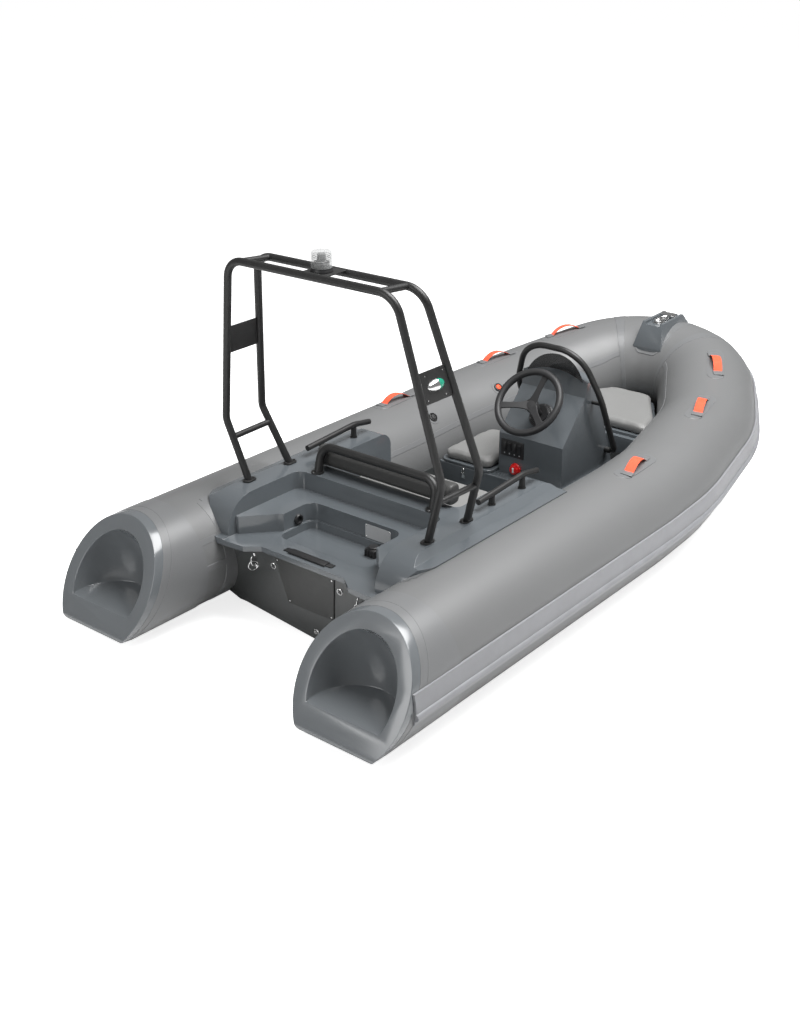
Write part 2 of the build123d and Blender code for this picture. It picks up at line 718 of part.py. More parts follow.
# side lights on the outboard faces of the plates
plate_centre = sum(plate_points, Vector(0, 0, 0)) * 0.25
nav_length, nav_width, nav_t, nav_lens_t = 96.0, 46.0, 14.0, 20.0
for name, side in (("nav_light_green", 1), ("nav_light_red", -1)):
    with BuildPart() as nav_light:
        with BuildSketch(plate_plane.offset(arch_plate_t / 2 + fit)):
            with Locations((plate_centre.X, plate_centre.Y)):
                Ellipse(nav_length / 2, nav_width / 2)
        extrude(amount=nav_t)
        with BuildSketch(plate_plane.offset(arch_plate_t / 2 + fit + nav_t)):
            with Locations((plate_centre.X, plate_centre.Y)):
                Ellipse(nav_length / 2 - 14, nav_width / 2 - 8)
        extrude(amount=nav_lens_t - nav_t)
        if side < 0:
            mirror(about=Plane.YZ, mode=Mode.REPLACE)
    save(nav_light, name)

# ---------------------------------------------------------------- forward box
box_floor_z = sole_z + fit


def box_outline(inset, x_limit, y_limits):
    """Add the part of the cockpit outline that lies to port of x_limit and between y_limits."""
    plan_inside(side_gap + fit + inset)
    with Locations((x_limit - 1000.0, (y_limits[0] + y_limits[1]) / 2)):
        Rectangle(2000.0, y_limits[1] - y_limits[0], mode=Mode.INTERSECT)


port_room_x = console_port_x - 2 * box_wall
with BuildPart() as locker_box:
    with BuildSketch(Plane.XY.offset(box_floor_z)):
        box_outline(0.0, box_stbd_x, (box_aft_y, box_fwd_y))
    extrude(amount=box_z - box_floor_z)
    fillet(locker_box.edges().filter_by(Axis.Z).group_by(Axis.X)[-1], radius=box_corner_r)
    with BuildSketch(Plane.XY.offset(box_floor_z + box_wall)):
        box_outline(box_wall, port_room_x, (box_aft_y + box_wall, port_lid_fwd_y - box_wall))
    extrude(amount=box_z, mode=Mode.SUBTRACT)
    add(collar_room.part, mode=Mode.SUBTRACT)
save(locker_box, "locker_box")

lid_edge_x = console_port_x - 2 * lid_side_gap
with BuildPart() as port_lid:
    with BuildSketch(Plane.XY.offset(box_z + fit)):
        box_outline(lid_side_gap, lid_edge_x, (box_aft_y + fit, port_lid_fwd_y))
    extrude(amount=lid_t)
    fillet(port_lid.edges().filter_by(Axis.Z), radius=lid_corner_r)
    add(collar_room.part, mode=Mode.SUBTRACT)
save(port_lid, "port_lid")

with BuildPart() as port_cushion:
    with BuildSketch(Plane.XY.offset(box_z + lid_t + 2 * fit)):
        box_outline(lid_side_gap + cushion_inset, lid_edge_x - cushion_inset,
                    (box_aft_y + fit, port_lid_fwd_y - cushion_inset))
    extrude(amount=cushion_t)
    fillet(port_cushion.edges().filter_by(Axis.Z), radius=lid_corner_r)
    fillet(port_cushion.faces().sort_by(Axis.Z)[-1].edges(), radius=cushion_edge_r)
save(port_cushion, "port_cushion")

latch_x, latch_half, latch_t, latch_z = -250.0, 14.0, 8.0, (box_z - 60.0, box_z - 4.0)
with BuildPart() as locker_latch:
    block((latch_x - latch_half, latch_x + latch_half), (box_aft_y - fit - latch_t, box_aft_y - fit),
          latch_z, 3)
save(locker_latch, "locker_latch")

# ---------------------------------------------------------------- console
console_profile = [
    (console_aft_y, box_z + fit), (console_aft_y, console_dash_z), (console_fold_y, console_fold_z),
    (console_crest_y, console_crest_z), (console_back_y, console_crest_z - 8),
    (console_fwd_y, box_z + fit),
]
with BuildPart() as console:
    with BuildSketch(Plane.YZ.offset(console_port_x)):
        with BuildLine():
            Polyline(*console_profile, close=True)
        make_face()
    extrude(amount=console_stbd_x - console_port_x)
    with BuildSketch(Plane.XZ.offset(-console_aft_y + 50)):
        with BuildLine():
            left = (console_port_x, console_shoulder_z)
            right = (console_stbd_x, console_shoulder_z)
            ThreePointArc(left, (mid_x, console_crest_z), right)
            Polyline(right, (console_stbd_x, box_z), (console_port_x, box_z), left)
        make_face()
    extrude(amount=-(console_fwd_y - console_aft_y + 100), mode=Mode.INTERSECT)
save(console, "console")

dash_angle = atan2(console_fold_z - console_dash_z, console_fold_y - console_aft_y)
dash_normal = (0.0, -sin(dash_angle), cos(dash_angle))
helm_point = (mid_x, console_aft_y + wheel_run * cos(dash_angle),
              console_dash_z + wheel_run * sin(dash_angle))
dash_plane = Plane(origin=helm_point, x_dir=(1, 0, 0), z_dir=dash_normal)
panel_lean = atan2(console_crest_y - console_fold_y, console_crest_z - console_fold_z)
panel_plane = Plane(origin=(mid_x, console_fold_y, console_fold_z), x_dir=(1, 0, 0),
                    z_dir=(0, -cos(panel_lean), sin(panel_lean)))
panel_rise = (console_crest_z - console_fold_z) / cos(panel_lean)
shoulder_rise = (console_shoulder_z - console_fold_z) / cos(panel_lean)
screen_half_x = (console_stbd_x - console_port_x) / 2 - screen_inset

with BuildPart() as windscreen:
    with BuildSketch(panel_plane.offset(fit)):
        with BuildLine():
            foot = (screen_half_x, shoulder_rise)
            ThreePointArc((-foot[0], foot[1]), (0, panel_rise + screen_height), foot)
            ThreePointArc((-foot[0], foot[1]), (0, panel_rise - screen_lap), foot)
        make_face()
    extrude(amount=screen_t)
save(windscreen, "windscreen")

with BuildPart() as helm_bezel:
    with BuildSketch(dash_plane.offset(fit)):
        Circle(bezel_r)
        Circle(column_r + 1.0, mode=Mode.SUBTRACT)
    extrude(amount=bezel_t, taper=12)
save(helm_bezel, "helm_bezel")

wheel_plane = dash_plane.offset(wheel_standoff)
spoke_angles = (79.0, 199.0, 319.0)
with BuildPart() as steering_wheel:
    with BuildSketch(dash_plane.offset(2 * fit)):
        Circle(column_r)
    extrude(amount=wheel_standoff - 14)
    with BuildSketch(wheel_plane.offset(-22)):
        Circle(wheel_hub_r)
    extrude(amount=34)
    with BuildSketch(wheel_plane.offset(-5)):
        for angle in spoke_angles:
            with Locations(Location((0, 0, 0), (0, 0, angle))):
                with Locations((wheel_r / 2, 0)):
                    Rectangle(wheel_r, 34)
    extrude(amount=8)
    with BuildLine(wheel_plane) as rim:
        CenterArc((0, 0), wheel_r, 0, 360)
    tube_on(Wire(rim.edges()), wheel_rim_r)
save(steering_wheel, "steering_wheel")

with BuildPart() as switch_panel:
    with BuildSketch(Plane.XZ.offset(-console_aft_y + fit)):
        with Locations((console_port_x + 14 + switch_panel_size[0] / 2, switch_panel_z)):
            RectangleRounded(*switch_panel_size, 6)
    extrude(amount=5)
save(switch_panel, "switch_panel")

knob_x = console_port_x + 100.0
with BuildPart() as battery_switch:
    with BuildSketch(Plane.XZ.offset(-console_aft_y + fit)):
        with Locations((knob_x, knob_z)):
            Circle(knob_r + 8)
    extrude(amount=8)
    with BuildSketch(Plane.XZ.offset(-console_aft_y + fit + 8)):
        with Locations((knob_x, knob_z)):
            Circle(knob_r)
    extrude(amount=16)
save(battery_switch, "battery_switch")

rail_foot_x = (console_stbd_x - console_port_x) / 2 + 2 * fit
rail_side = [(rail_foot_x, 556.0, 358.0), (hoop_rail_half_x, 556.0, 358.0),
             (hoop_rail_half_x, 392.0, 680.0), (150.0, 322.0, 900.0)]
rail_radii = [30.0, 300.0, 165.0]
stay_y, stay_z, stay_r = 411.0, 642.0, 9.0
with BuildPart() as console_rail:
    half = [(mid_x + x, y, z) for x, y, z in rail_side]
    other = [(mid_x - x, y, z) for x, y, z in reversed(rail_side)]
    bent_tube(half + other, rail_radii + rail_radii[::-1], hoop_rail_r)
    for side in (1, -1):
        straight_tube((mid_x + side * rail_foot_x, stay_y, stay_z),
                      (mid_x + side * hoop_rail_half_x, stay_y, stay_z), stay_r)
save(console_rail, "console_rail")

# ---------------------------------------------------------------- bow locker
with BuildPart() as bow_locker:
    with BuildSketch(Plane.XY.offset(hull_top_z + fit)):
        plan_inside(side_gap + fit)
        with Locations((0.0, bow_locker_aft_y - 3 * tube_x)):
            Rectangle(4 * tube_x, 6 * tube_x, mode=Mode.SUBTRACT)
    extrude(amount=bow_locker_z - hull_top_z - fit)
    with BuildSketch(Plane.XY.offset(hull_top_z)):
        bow_room_outline()
    extrude(amount=bow_locker_z, mode=Mode.SUBTRACT)
    add(collar_room.part, mode=Mode.SUBTRACT)
save(bow_locker, "bow_locker")

with BuildPart() as bow_lid:
    with BuildSketch(Plane.XY.offset(bow_locker_z + fit)) as lid_sketch:
        bow_outline(0.0)
        fillet(lid_sketch.vertices(), radius=bow_lid_corner_r)
    extrude(amount=lid_t)
    add(collar_room.part, mode=Mode.SUBTRACT)
save(bow_lid, "bow_lid")

with BuildPart() as bow_cushion:
    with BuildSketch(Plane.XY.offset(bow_locker_z + lid_t + 2 * fit)) as cushion_sketch:
        bow_outline(cushion_inset)
        fillet(cushion_sketch.vertices(), radius=bow_lid_corner_r)
    extrude(amount=cushion_t)
    fillet(bow_cushion.faces().sort_by(Axis.Z)[-1].edges(), radius=cushion_edge_r)
    add(collar_room.part, mode=Mode.SUBTRACT)
save(bow_cushion, "bow_cushion")

# ---------------------------------------------------------------- bow bracket and roller
bracket_top_z = bracket_profile[3][1]
bracket_low_z = bracket_profile[0][1]
bracket_reach = bracket_profile[-1][0] - bracket_profile[0][0]
channel_half = bracket_half_top - bracket_wall
with BuildPart() as bow_bracket:
    with BuildSketch(Plane.YZ.offset(-bracket_half_foot)):
        with BuildLine():
            Polyline(*bracket_profile, close=True)
        make_face()
    extrude(amount=2 * bracket_half_foot)
    for side in (1, -1):
        with BuildSketch(Plane.XZ.offset(-bracket_profile[0][0] + 10)):
            with BuildLine():
                Polyline((side * bracket_half_top, bracket_top_z),
                         (side * bracket_half_top, bracket_top_z + 5),
                         (side * (bracket_half_foot + 20), bracket_top_z + 5),
                         (side * (bracket_half_foot + 20), bracket_low_z),
                         (side * bracket_half_foot, bracket_low_z), close=True)
            make_face()
        extrude(amount=-bracket_reach - 20, mode=Mode.SUBTRACT)
    block((-channel_half, channel_half), (bracket_profile[0][0], bracket_profile[-1][0]),
          (bracket_top_z - bracket_channel, bracket_top_z + 5), 0, Mode.SUBTRACT)
    add(collar_room.part, mode=Mode.SUBTRACT)
save(bow_bracket, "bow_bracket")

roller_y, roller_r = bow_y + 13.0, 15.0
roller_z = bracket_top_z - bracket_channel + fit + roller_r
with BuildPart() as bow_roller:
    with BuildSketch(Plane.YZ.offset(-channel_half + fit)):
        with Locations((roller_y, roller_z)):
            Circle(roller_r)
    extrude(amount=2 * (channel_half - fit))
save(bow_roller, "bow_roller")

# ---------------------------------------------------------------- carry handles and valves
handle_arc = [(-handle_length / 2 + handle_tab, handle_t), (0.0, handle_rise),
              (handle_length / 2 - handle_tab, handle_t)]
for name, side in (("carry_handles_starboard", 1), ("carry_handles_port", -1)):
    with BuildPart() as handles:
        for run, lift in handle_places:
            seat = skin_plane(run, handle_angle, lift).rotated((0, 0, handle_turn))
            cross = Plane(origin=seat.origin, x_dir=seat.x_dir, z_dir=-seat.y_dir)
            with BuildSketch(cross.offset(-handle_width / 2)):
                with BuildLine():
                    under = ThreePointArc(*[(x, z - handle_t) for x, z in handle_arc])
                    over = ThreePointArc(*handle_arc)
                    for end, x in ((0, -handle_length / 2), (1, handle_length / 2)):
                        Polyline(under @ end, (x, 0.0), (x, handle_t), over @ end)
                make_face()
            extrude(amount=handle_width)
        if side < 0:
            mirror(about=Plane.YZ, mode=Mode.REPLACE)
    save(handles, name)

with BuildPart() as inflation_valves:
    for run in valve_runs:
        with BuildSketch(skin_plane(run, valve_angle, valve_seat)):
            Circle(valve_r)
        extrude(amount=valve_t)
    mirror(about=Plane.YZ, mode=Mode.REPLACE)
save(inflation_valves, "inflation_valves")

# ---------------------------------------------------------------- fittings in the splash well
hose_y, hose_z = -1067.0, 416.0
hose_r, hose_bore_r, hose_t = 24.0, 12.0, 12.0
rating_x, rating_z = 118.0, 423.0
rating_w, rating_h, rating_t, rating_corner_r = 136.0, 62.0, 1.6, 4.0
filter_x, filter_y = 108.0, -1066.0
filter_w, filter_d, filter_h = 64.0, 56.0, 43.0
with BuildPart() as hose_fitting:
    with BuildSketch(Plane.YZ.offset(-well_half_x + 2 * fit)):
        with Locations((hose_y, hose_z)):
            Circle(hose_r)
            Circle(hose_bore_r, mode=Mode.SUBTRACT)
    extrude(amount=hose_t)
save(hose_fitting, "hose_fitting")

with BuildPart() as rating_plate:
    with BuildSketch(Plane.XZ.offset(-well_fwd_y + fit)):
        with Locations((rating_x, rating_z)):
            RectangleRounded(rating_w, rating_h, rating_corner_r)
    extrude(amount=rating_t)
save(rating_plate, "rating_plate")

with BuildPart() as filter_box:
    block((filter_x, filter_x + filter_w), (filter_y, filter_y + filter_d),
          (well_z + fit, well_z + filter_h), 8)
save(filter_box, "filter_box")
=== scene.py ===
"""Looks for an inflatable boat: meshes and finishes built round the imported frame, in metres."""
import logging
import math
from dataclasses import dataclass
from enum import Enum
from typing import Any, Callable, Sequence

import bmesh
import bpy
from mathutils import Matrix, Vector


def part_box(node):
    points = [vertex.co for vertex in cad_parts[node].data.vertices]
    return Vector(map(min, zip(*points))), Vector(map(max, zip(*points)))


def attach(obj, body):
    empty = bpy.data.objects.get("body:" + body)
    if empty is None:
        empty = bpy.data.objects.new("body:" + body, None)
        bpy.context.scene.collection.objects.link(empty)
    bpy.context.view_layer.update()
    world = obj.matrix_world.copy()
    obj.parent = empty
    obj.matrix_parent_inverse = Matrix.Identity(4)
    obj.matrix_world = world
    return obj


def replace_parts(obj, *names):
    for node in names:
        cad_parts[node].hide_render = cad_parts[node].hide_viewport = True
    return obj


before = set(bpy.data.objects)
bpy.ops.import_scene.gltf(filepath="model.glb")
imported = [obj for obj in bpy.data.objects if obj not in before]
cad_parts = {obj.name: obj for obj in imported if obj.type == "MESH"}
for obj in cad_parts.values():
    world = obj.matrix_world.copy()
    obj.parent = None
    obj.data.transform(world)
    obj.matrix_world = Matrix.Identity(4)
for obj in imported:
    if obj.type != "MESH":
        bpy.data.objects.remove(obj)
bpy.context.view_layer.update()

LOG = logging.getLogger("boat")
Colour = tuple[float, float, float]
Outline = Sequence[tuple[float, float]]
Mesh = bmesh.types.BMesh
Thing = bpy.types.Object


class Side(Enum):
    """Which side of the centreline a piece is on."""

    PORT = -1.0
    STARBOARD = 1.0


# ---------------------------------------------------------------- shader language
class Sock:
    """A shader output that can be used in Python arithmetic."""

    def __init__(self, graph: "Graph", socket: bpy.types.NodeSocket) -> None:
        """Wrap one output socket of a graph."""
        self.graph = graph
        self.socket = socket

    def _math(self, operation: str, *others: Any, clamp: bool = False) -> "Sock":
        """Add a Math node that works on this value and others.

        Args:
            operation: The node's operation.
            *others: Values after this one.
            clamp: Hold the result between nought and one.

        Returns:
            The result.
        """
        inputs = dict(enumerate((self,) + others))
        settings = {"operation": operation, "use_clamp": clamp}
        return self.graph.add("ShaderNodeMath", settings, inputs)

    def _flipped(self, operation: str, other: float) -> "Sock":
        """Add a Math node with a plain number first."""
        return self.graph.add("ShaderNodeMath", {"operation": operation}, {0: other, 1: self})

    def __add__(self, other: Any) -> "Sock":
        """Sum of two values."""
        return self._math("ADD", other)

    def __radd__(self, other: float) -> "Sock":
        """Sum with a number first."""
        return self._flipped("ADD", other)

    def __sub__(self, other: Any) -> "Sock":
        """Difference of two values."""
        return self._math("SUBTRACT", other)

    def __rsub__(self, other: float) -> "Sock":
        """Difference with a number first."""
        return self._flipped("SUBTRACT", other)

    def __mul__(self, other: Any) -> "Sock":
        """Product of two values."""
        return self._math("MULTIPLY", other)

    def __rmul__(self, other: float) -> "Sock":
        """Product with a number first."""
        return self._flipped("MULTIPLY", other)

    def clipped(self) -> "Sock":
        """The value held between nought and one."""
        return self._math("ADD", 0.0, clamp=True)

    def least(self, other: Any) -> "Sock":
        """The smaller of two values."""
        return self._math("MINIMUM", other)


class Graph:
    """A material being written as nodes."""

    def __init__(self, name: str) -> None:
        """Start a material that holds one Principled shader.

        Args:
            name: The material's name.
        """
        self.material = bpy.data.materials.new(name)
        self.material.use_nodes = True
        self.tree = self.material.node_tree
        self.tree.nodes.clear()
        self.shader = self.tree.nodes.new("ShaderNodeBsdfPrincipled")
        self.output = self.tree.nodes.new("ShaderNodeOutputMaterial")
        self.tree.links.new(self.shader.outputs[0], self.output.inputs["Surface"])

    def add(self, kind: str, settings: dict[str, Any] | None = None,
            inputs: dict[Any, Any] | None = None, output: Any = 0) -> Sock:
        """Add a node.

        Args:
            kind: The node's type.
            settings: Properties set before its sockets.
            inputs: Values or links of its sockets, by name or place.
            output: The output to hand back.

        Returns:
            The chosen output.
        """
        node = self.tree.nodes.new(kind)
        for key, value in (settings or {}).items():
            if key == "stops":
                while len(node.color_ramp.elements) < len(value):
                    node.color_ramp.elements.new(0.5)
                for element, (place, level_at) in zip(node.color_ramp.elements, value):
                    element.position = place
                    element.color = (level_at, level_at, level_at, 1.0)
            else:
                setattr(node, key, value)
        for key, value in (inputs or {}).items():
            self.feed(node.inputs[key], value)
        return Sock(self, node.outputs[output])

    def feed(self, socket: bpy.types.NodeSocket, value: Any) -> None:
        """Link a socket to a wrapped output, or set it to a plain value.

        Args:
            socket: The socket.
            value: A wrapped output, a colour or a number.
        """
        if isinstance(value, Sock):
            self.tree.links.new(value.socket, socket)
        elif isinstance(value, tuple) and len(value) == 3 and socket.type == "RGBA":
            socket.default_value = (*value, 1.0)
        else:
            socket.default_value = value

    def place(self, stretch: Colour = (1.0, 1.0, 1.0), from_uv: bool = False) -> Sock:
        """Coordinates of the surface in metres, stretched along the axes."""
        where = self.add("ShaderNodeTexCoord", output="UV" if from_uv else "Object")
        return self.add("ShaderNodeVectorMath", {"operation": "MULTIPLY"}, {0: where, 1: stretch})

    def noise(self, scale: float, detail: float, stretch: Colour = (1.0, 1.0, 1.0)) -> Sock:
        """Noise from nought to one."""
        inputs = {"Vector": self.place(stretch), "Scale": scale, "Detail": detail}
        return self.add("ShaderNodeTexNoise", {}, inputs)

    def cells(self, scale: float, feature: str = "F1") -> Sock:
        """Distance field of small cells, for grain."""
        inputs = {"Vector": self.place(), "Scale": scale}
        return self.add("ShaderNodeTexVoronoi", {"feature": feature}, inputs)

    def waves(self, scale: float, direction: str) -> Sock:
        """Parallel ribs, for weave."""
        inputs = {"Vector": self.place(from_uv=True), "Scale": scale}
        return self.add("ShaderNodeTexWave", {"bands_direction": direction}, inputs)

    def blend(self, share: Any, first: Any, second: Any) -> Sock:
        """Mix two colours."""
        inputs = {0: share, 6: first, 7: second}
        return self.add("ShaderNodeMix", {"data_type": "RGBA"}, inputs, output=2)

    def bump(self, height: Sock, strength: float, depth: float) -> Sock:
        """Normal that leans with a height field, its depth in metres."""
        return self.add("ShaderNodeBump", {}, {"Height": height, "Strength": strength, "Distance": depth})

    def finish(self, **sockets: Any) -> None:
        """Set or link the Principled shader's sockets.

        Args:
            **sockets: Socket names with underscores for spaces.
        """
        for name, value in sockets.items():
            self.feed(self.shader.inputs[name.replace("_", " ")], value)


def shade(colour: Colour, by: float) -> Colour:
    """A colour made lighter or darker by a factor."""
    return tuple(min(1.0, channel * by) for channel in colour)


@dataclass(frozen=True)
class Finish:
    """What every finish has: a name, the record's slot, a colour and how rough it is."""

    name: str
    slot: str
    colour: Colour
    roughness: float = 0.5

    def build(self) -> bpy.types.Material:
        """Write the material.

        Returns:
            The material.
        """
        graph = Graph(self.name)
        graph.finish(Base_Color=self.colour, Roughness=self.roughness)
        self.write(graph)
        return graph.material

    def write(self, graph: Graph) -> None:
        """Set what this finish has beyond its plain colour."""

    def tint(self, graph: Graph, share: Sock, first: float, second: float) -> Sock:
        """The colour varied between two strengths."""
        return graph.blend(share.clipped(), shade(self.colour, first), shade(self.colour, second))

    def worn(self, pattern: Sock, reach: float) -> Sock:
        """The roughness varied with a pattern, by up to half a reach each way."""
        return self.roughness + (pattern - 0.5) * reach


@dataclass(frozen=True)
class CoatedFabric(Finish):
    """Satin coated cloth of the tube: fine grain, faint cloudiness, scuffed gloss."""

    grain: float = 950.0

    def write(self, graph: Graph) -> None:
        """Write the surface.

        Args:
            graph: The material being written.
        """
        cloud = graph.noise(2.2, 3.0)
        fine = graph.noise(self.grain, 2.0)
        scuff = graph.noise(14.0, 6.0, (1.0, 0.25, 1.0))
        weave = graph.bump(fine * 0.8 + graph.noise(7.0, 2.0) * 0.2, 0.12, 0.0006)
        graph.finish(Base_Color=self.tint(graph, cloud * 0.7 + fine * 0.3, 0.92, 1.07),
                     Roughness=self.worn(scuff, 0.12), Normal=weave, Specular_IOR_Level=0.45)


@dataclass(frozen=True)
class Gelcoat(Finish):
    """Gloss moulded gelcoat with a faint orange peel and hazed patches."""

    coat: float = 0.55

    def write(self, graph: Graph) -> None:
        """Write the surface.

        Args:
            graph: The material being written.
        """
        haze = graph.noise(9.0, 5.0)
        fleck = graph.noise(600.0, 1.0)
        peel = graph.bump(graph.noise(55.0, 2.0), 0.10, 0.0010)
        graph.finish(Base_Color=self.tint(graph, haze * 0.6 + fleck * 0.4, 0.93, 1.06),
                     Roughness=self.worn(haze, 0.10), Normal=peel, Coat_Weight=self.coat, Coat_Roughness=0.12)


@dataclass(frozen=True)
class SpeckledDeck(Finish):
    """Non-slip deck: gelcoat with a raised speckle."""

    def write(self, graph: Graph) -> None:
        """Write the surface.

        Args:
            graph: The material being written.
        """
        speckle = graph.cells(160.0)
        graph.finish(Base_Color=self.tint(graph, speckle, 1.12, 0.86),
                     Normal=graph.bump(speckle, 0.5, 0.0012))


@dataclass(frozen=True)
class PowderCoat(Finish):
    """Black powder coat on tube: fine pebble and a dull gloss."""

    def write(self, graph: Graph) -> None:
        """Write the surface.

        Args:
            graph: The material being written.
        """
        pebble = graph.noise(1100.0, 2.0)
        worn = graph.noise(24.0, 4.0)
        graph.finish(Base_Color=self.tint(graph, worn, 0.8, 1.35), Roughness=self.worn(worn, 0.14),
                     Normal=graph.bump(pebble, 0.22, 0.0004))


@dataclass(frozen=True)
class SeatVinyl(Finish):
    """Grained upholstery vinyl."""

    grain: float = 420.0

    def write(self, graph: Graph) -> None:
        """Write the surface.

        Args:
            graph: The material being written.
        """
        leather = graph.cells(self.grain, "DISTANCE_TO_EDGE")
        crease = graph.noise(60.0, 4.0)
        cloud = graph.noise(7.0, 3.0)
        height = leather.least(0.25) * 2.4 + crease * 0.5
        graph.finish(Base_Color=self.tint(graph, cloud * 0.6 + crease * 0.4, 0.90, 1.08),
                     Roughness=self.worn(cloud, 0.10), Normal=graph.bump(height, 0.28, 0.0006),
                     Sheen_Weight=0.05)


@dataclass(frozen=True)
class Webbing(Finish):
    """Woven strap: ribs across and along, from the strap's own map in metres."""

    def write(self, graph: Graph) -> None:
        """Write the surface.

        Args:
            graph: The material being written.
        """
        ribs = graph.waves(150.0, "X") * 0.6 + graph.waves(260.0, "Y") * 0.4
        graph.finish(Base_Color=self.tint(graph, ribs, 0.78, 1.06), Normal=graph.bump(ribs, 0.5, 0.0010),
                     Sheen_Weight=0.15)


@dataclass(frozen=True)
class MouldedPlastic(Finish):
    """Moulded plastic with a light grain."""

    grain: float = 700.0

    def write(self, graph: Graph) -> None:
        """Write the surface.

        Args:
            graph: The material being written.
        """
        grain = graph.noise(self.grain, 2.0)
        cloud = graph.noise(12.0, 3.0)
        graph.finish(Base_Color=self.tint(graph, cloud, 0.88, 1.15), Roughness=self.worn(cloud, 0.12),
                     Normal=graph.bump(grain, 0.18, 0.0004))


@dataclass(frozen=True)
class PolishedSteel(Finish):
    """Bright stainless with a faint brushed haze."""

    def write(self, graph: Graph) -> None:
        """Write the surface.

        Args:
            graph: The material being written.
        """
        brushed = graph.noise(180.0, 3.0, (1.0, 0.06, 1.0))
        graph.finish(Metallic=1.0, Roughness=self.worn(brushed, 0.10),
                     Normal=graph.bump(brushed, 0.05, 0.0003))


@dataclass(frozen=True)
class ClearPlastic(Finish):
    """See-through moulding: clear lens, coloured lens or smoked screen."""

    alpha: float = 0.4

    def write(self, graph: Graph) -> None:
        """Write the surface.

        Args:
            graph: The material being written.
        """
        haze = graph.noise(30.0, 3.0)
        graph.finish(Base_Color=self.tint(graph, haze, 0.92, 1.05), Roughness=self.roughness + haze * 0.05,
                     Alpha=self.alpha, IOR=1.49, Specular_IOR_Level=0.7)


FABRIC = CoatedFabric("tube_fabric", "tube_fabric", (0.155, 0.157, 0.158), 0.42)
TAPE = CoatedFabric("tape_fabric", "tube_fabric", (0.160, 0.163, 0.166), 0.34)
CONE = Gelcoat("cone_gloss", "cone", (0.128, 0.138, 0.146), 0.20)
RAIL = MouldedPlastic("rail_rubber", "rail", (0.225, 0.228, 0.240), 0.42)
GELCOAT = Gelcoat("deck_gelcoat", "gelcoat", (0.106, 0.118, 0.128), 0.17, 0.7)
DARK_GELCOAT = Gelcoat("hull_gelcoat", "hull_gelcoat", (0.050, 0.053, 0.053), 0.36, 0.25)
DECK = SpeckledDeck("deck_speckle", "gelcoat", (0.085, 0.098, 0.105), 0.5)
VINYL = SeatVinyl("seat_vinyl", "cushion", (0.215, 0.215, 0.211), 0.46)
BLACK_FRAME = PowderCoat("black_frame", "black_frame", (0.013, 0.013, 0.013), 0.42)
BLACK_PLASTIC = MouldedPlastic("black_plastic", "black_plastic", (0.016, 0.016, 0.017), 0.42)
GRIP = MouldedPlastic("wheel_grip", "black_plastic", (0.020, 0.020, 0.021), 0.52, 420.0)
STEEL = PolishedSteel("stainless", "stainless", (0.70, 0.70, 0.70), 0.16)
SMOKE = ClearPlastic("smoked_screen", "smoke_acrylic", (0.030, 0.031, 0.032), 0.08, 0.86)
CLEAR = ClearPlastic("clear_lens", "clear_lens", (0.36, 0.37, 0.37), 0.05, 0.34)
GREEN = ClearPlastic("green_lens", "green_lens", (0.02, 0.30, 0.19), 0.08, 0.85)
RED_LENS = ClearPlastic("red_lens", "red_lens", (0.42, 0.02, 0.02), 0.08, 0.85)
RED = MouldedPlastic("switch_red", "red_plastic", (0.62, 0.015, 0.015), 0.28)
ORANGE = Webbing("orange_webbing", "webbing", (1.0, 0.105, 0.032), 0.62)
ORANGE_CAP = MouldedPlastic("valve_orange", "webbing", (1.0, 0.105, 0.032), 0.45)
PLATE = MouldedPlastic("pad_plate", "hull_gelcoat", (0.036, 0.037, 0.036), 0.42)
DARK_VINYL = SeatVinyl("dark_vinyl", "cushion", (0.040, 0.040, 0.039), 0.50)
THREAD = MouldedPlastic("thread", "cushion", (0.10, 0.10, 0.10), 0.6)
CHROME = PolishedSteel("chrome", "stainless", (0.82, 0.82, 0.82), 0.08)
LAMP = MouldedPlastic("lamp_white", "clear_lens", (0.24, 0.24, 0.24), 0.3)
PALE = MouldedPlastic("pale_mark", "grey_plate", (0.80, 0.80, 0.80), 0.35)
GREY_PLATE = MouldedPlastic("grey_plate", "grey_plate", (0.42, 0.43, 0.44), 0.35)


class Paints:
    """Materials, each written once."""

    made: dict[str, bpy.types.Material] = {}

    @classmethod
    def get(cls, finish: Finish) -> bpy.types.Material:
        """The material of a finish.

        Args:
            finish: The finish.

        Returns:
            Its material.
        """
        if finish.name not in cls.made:
            cls.made[finish.name] = finish.build()
        return cls.made[finish.name]


# ---------------------------------------------------------------- mesh helpers
def dress(obj: Thing, finish: Finish) -> Thing:
    """Give an object one finish.

    Args:
        obj: The object.
        finish: Its finish.

    Returns:
        The same object.
    """
    if not obj.material_slots:
        obj.data.materials.append(None)
    for index in range(len(obj.material_slots)):
        obj.material_slots[index].material = Paints.get(finish)
    return obj


def smooth(obj: Thing, degrees: float = 38.0) -> Thing:
    """Shade an object smooth, with creases over an angle.

    Args:
        obj: The object.
        degrees: Edges that turn more than this stay sharp.

    Returns:
        The same object.
    """
    obj.data.polygons.foreach_set("use_smooth", [True] * len(obj.data.polygons))
    obj.data.set_sharp_from_angle(angle=math.radians(degrees))
    return obj


def link(name: str, data: bpy.types.ID) -> Thing:
    """Make an object from its data and put it in the scene.

    Args:
        name: The object's name.
        data: Its mesh, light or camera.

    Returns:
        The new object.
    """
    obj = bpy.data.objects.new(name, data)
    bpy.context.scene.collection.objects.link(obj)
    return obj


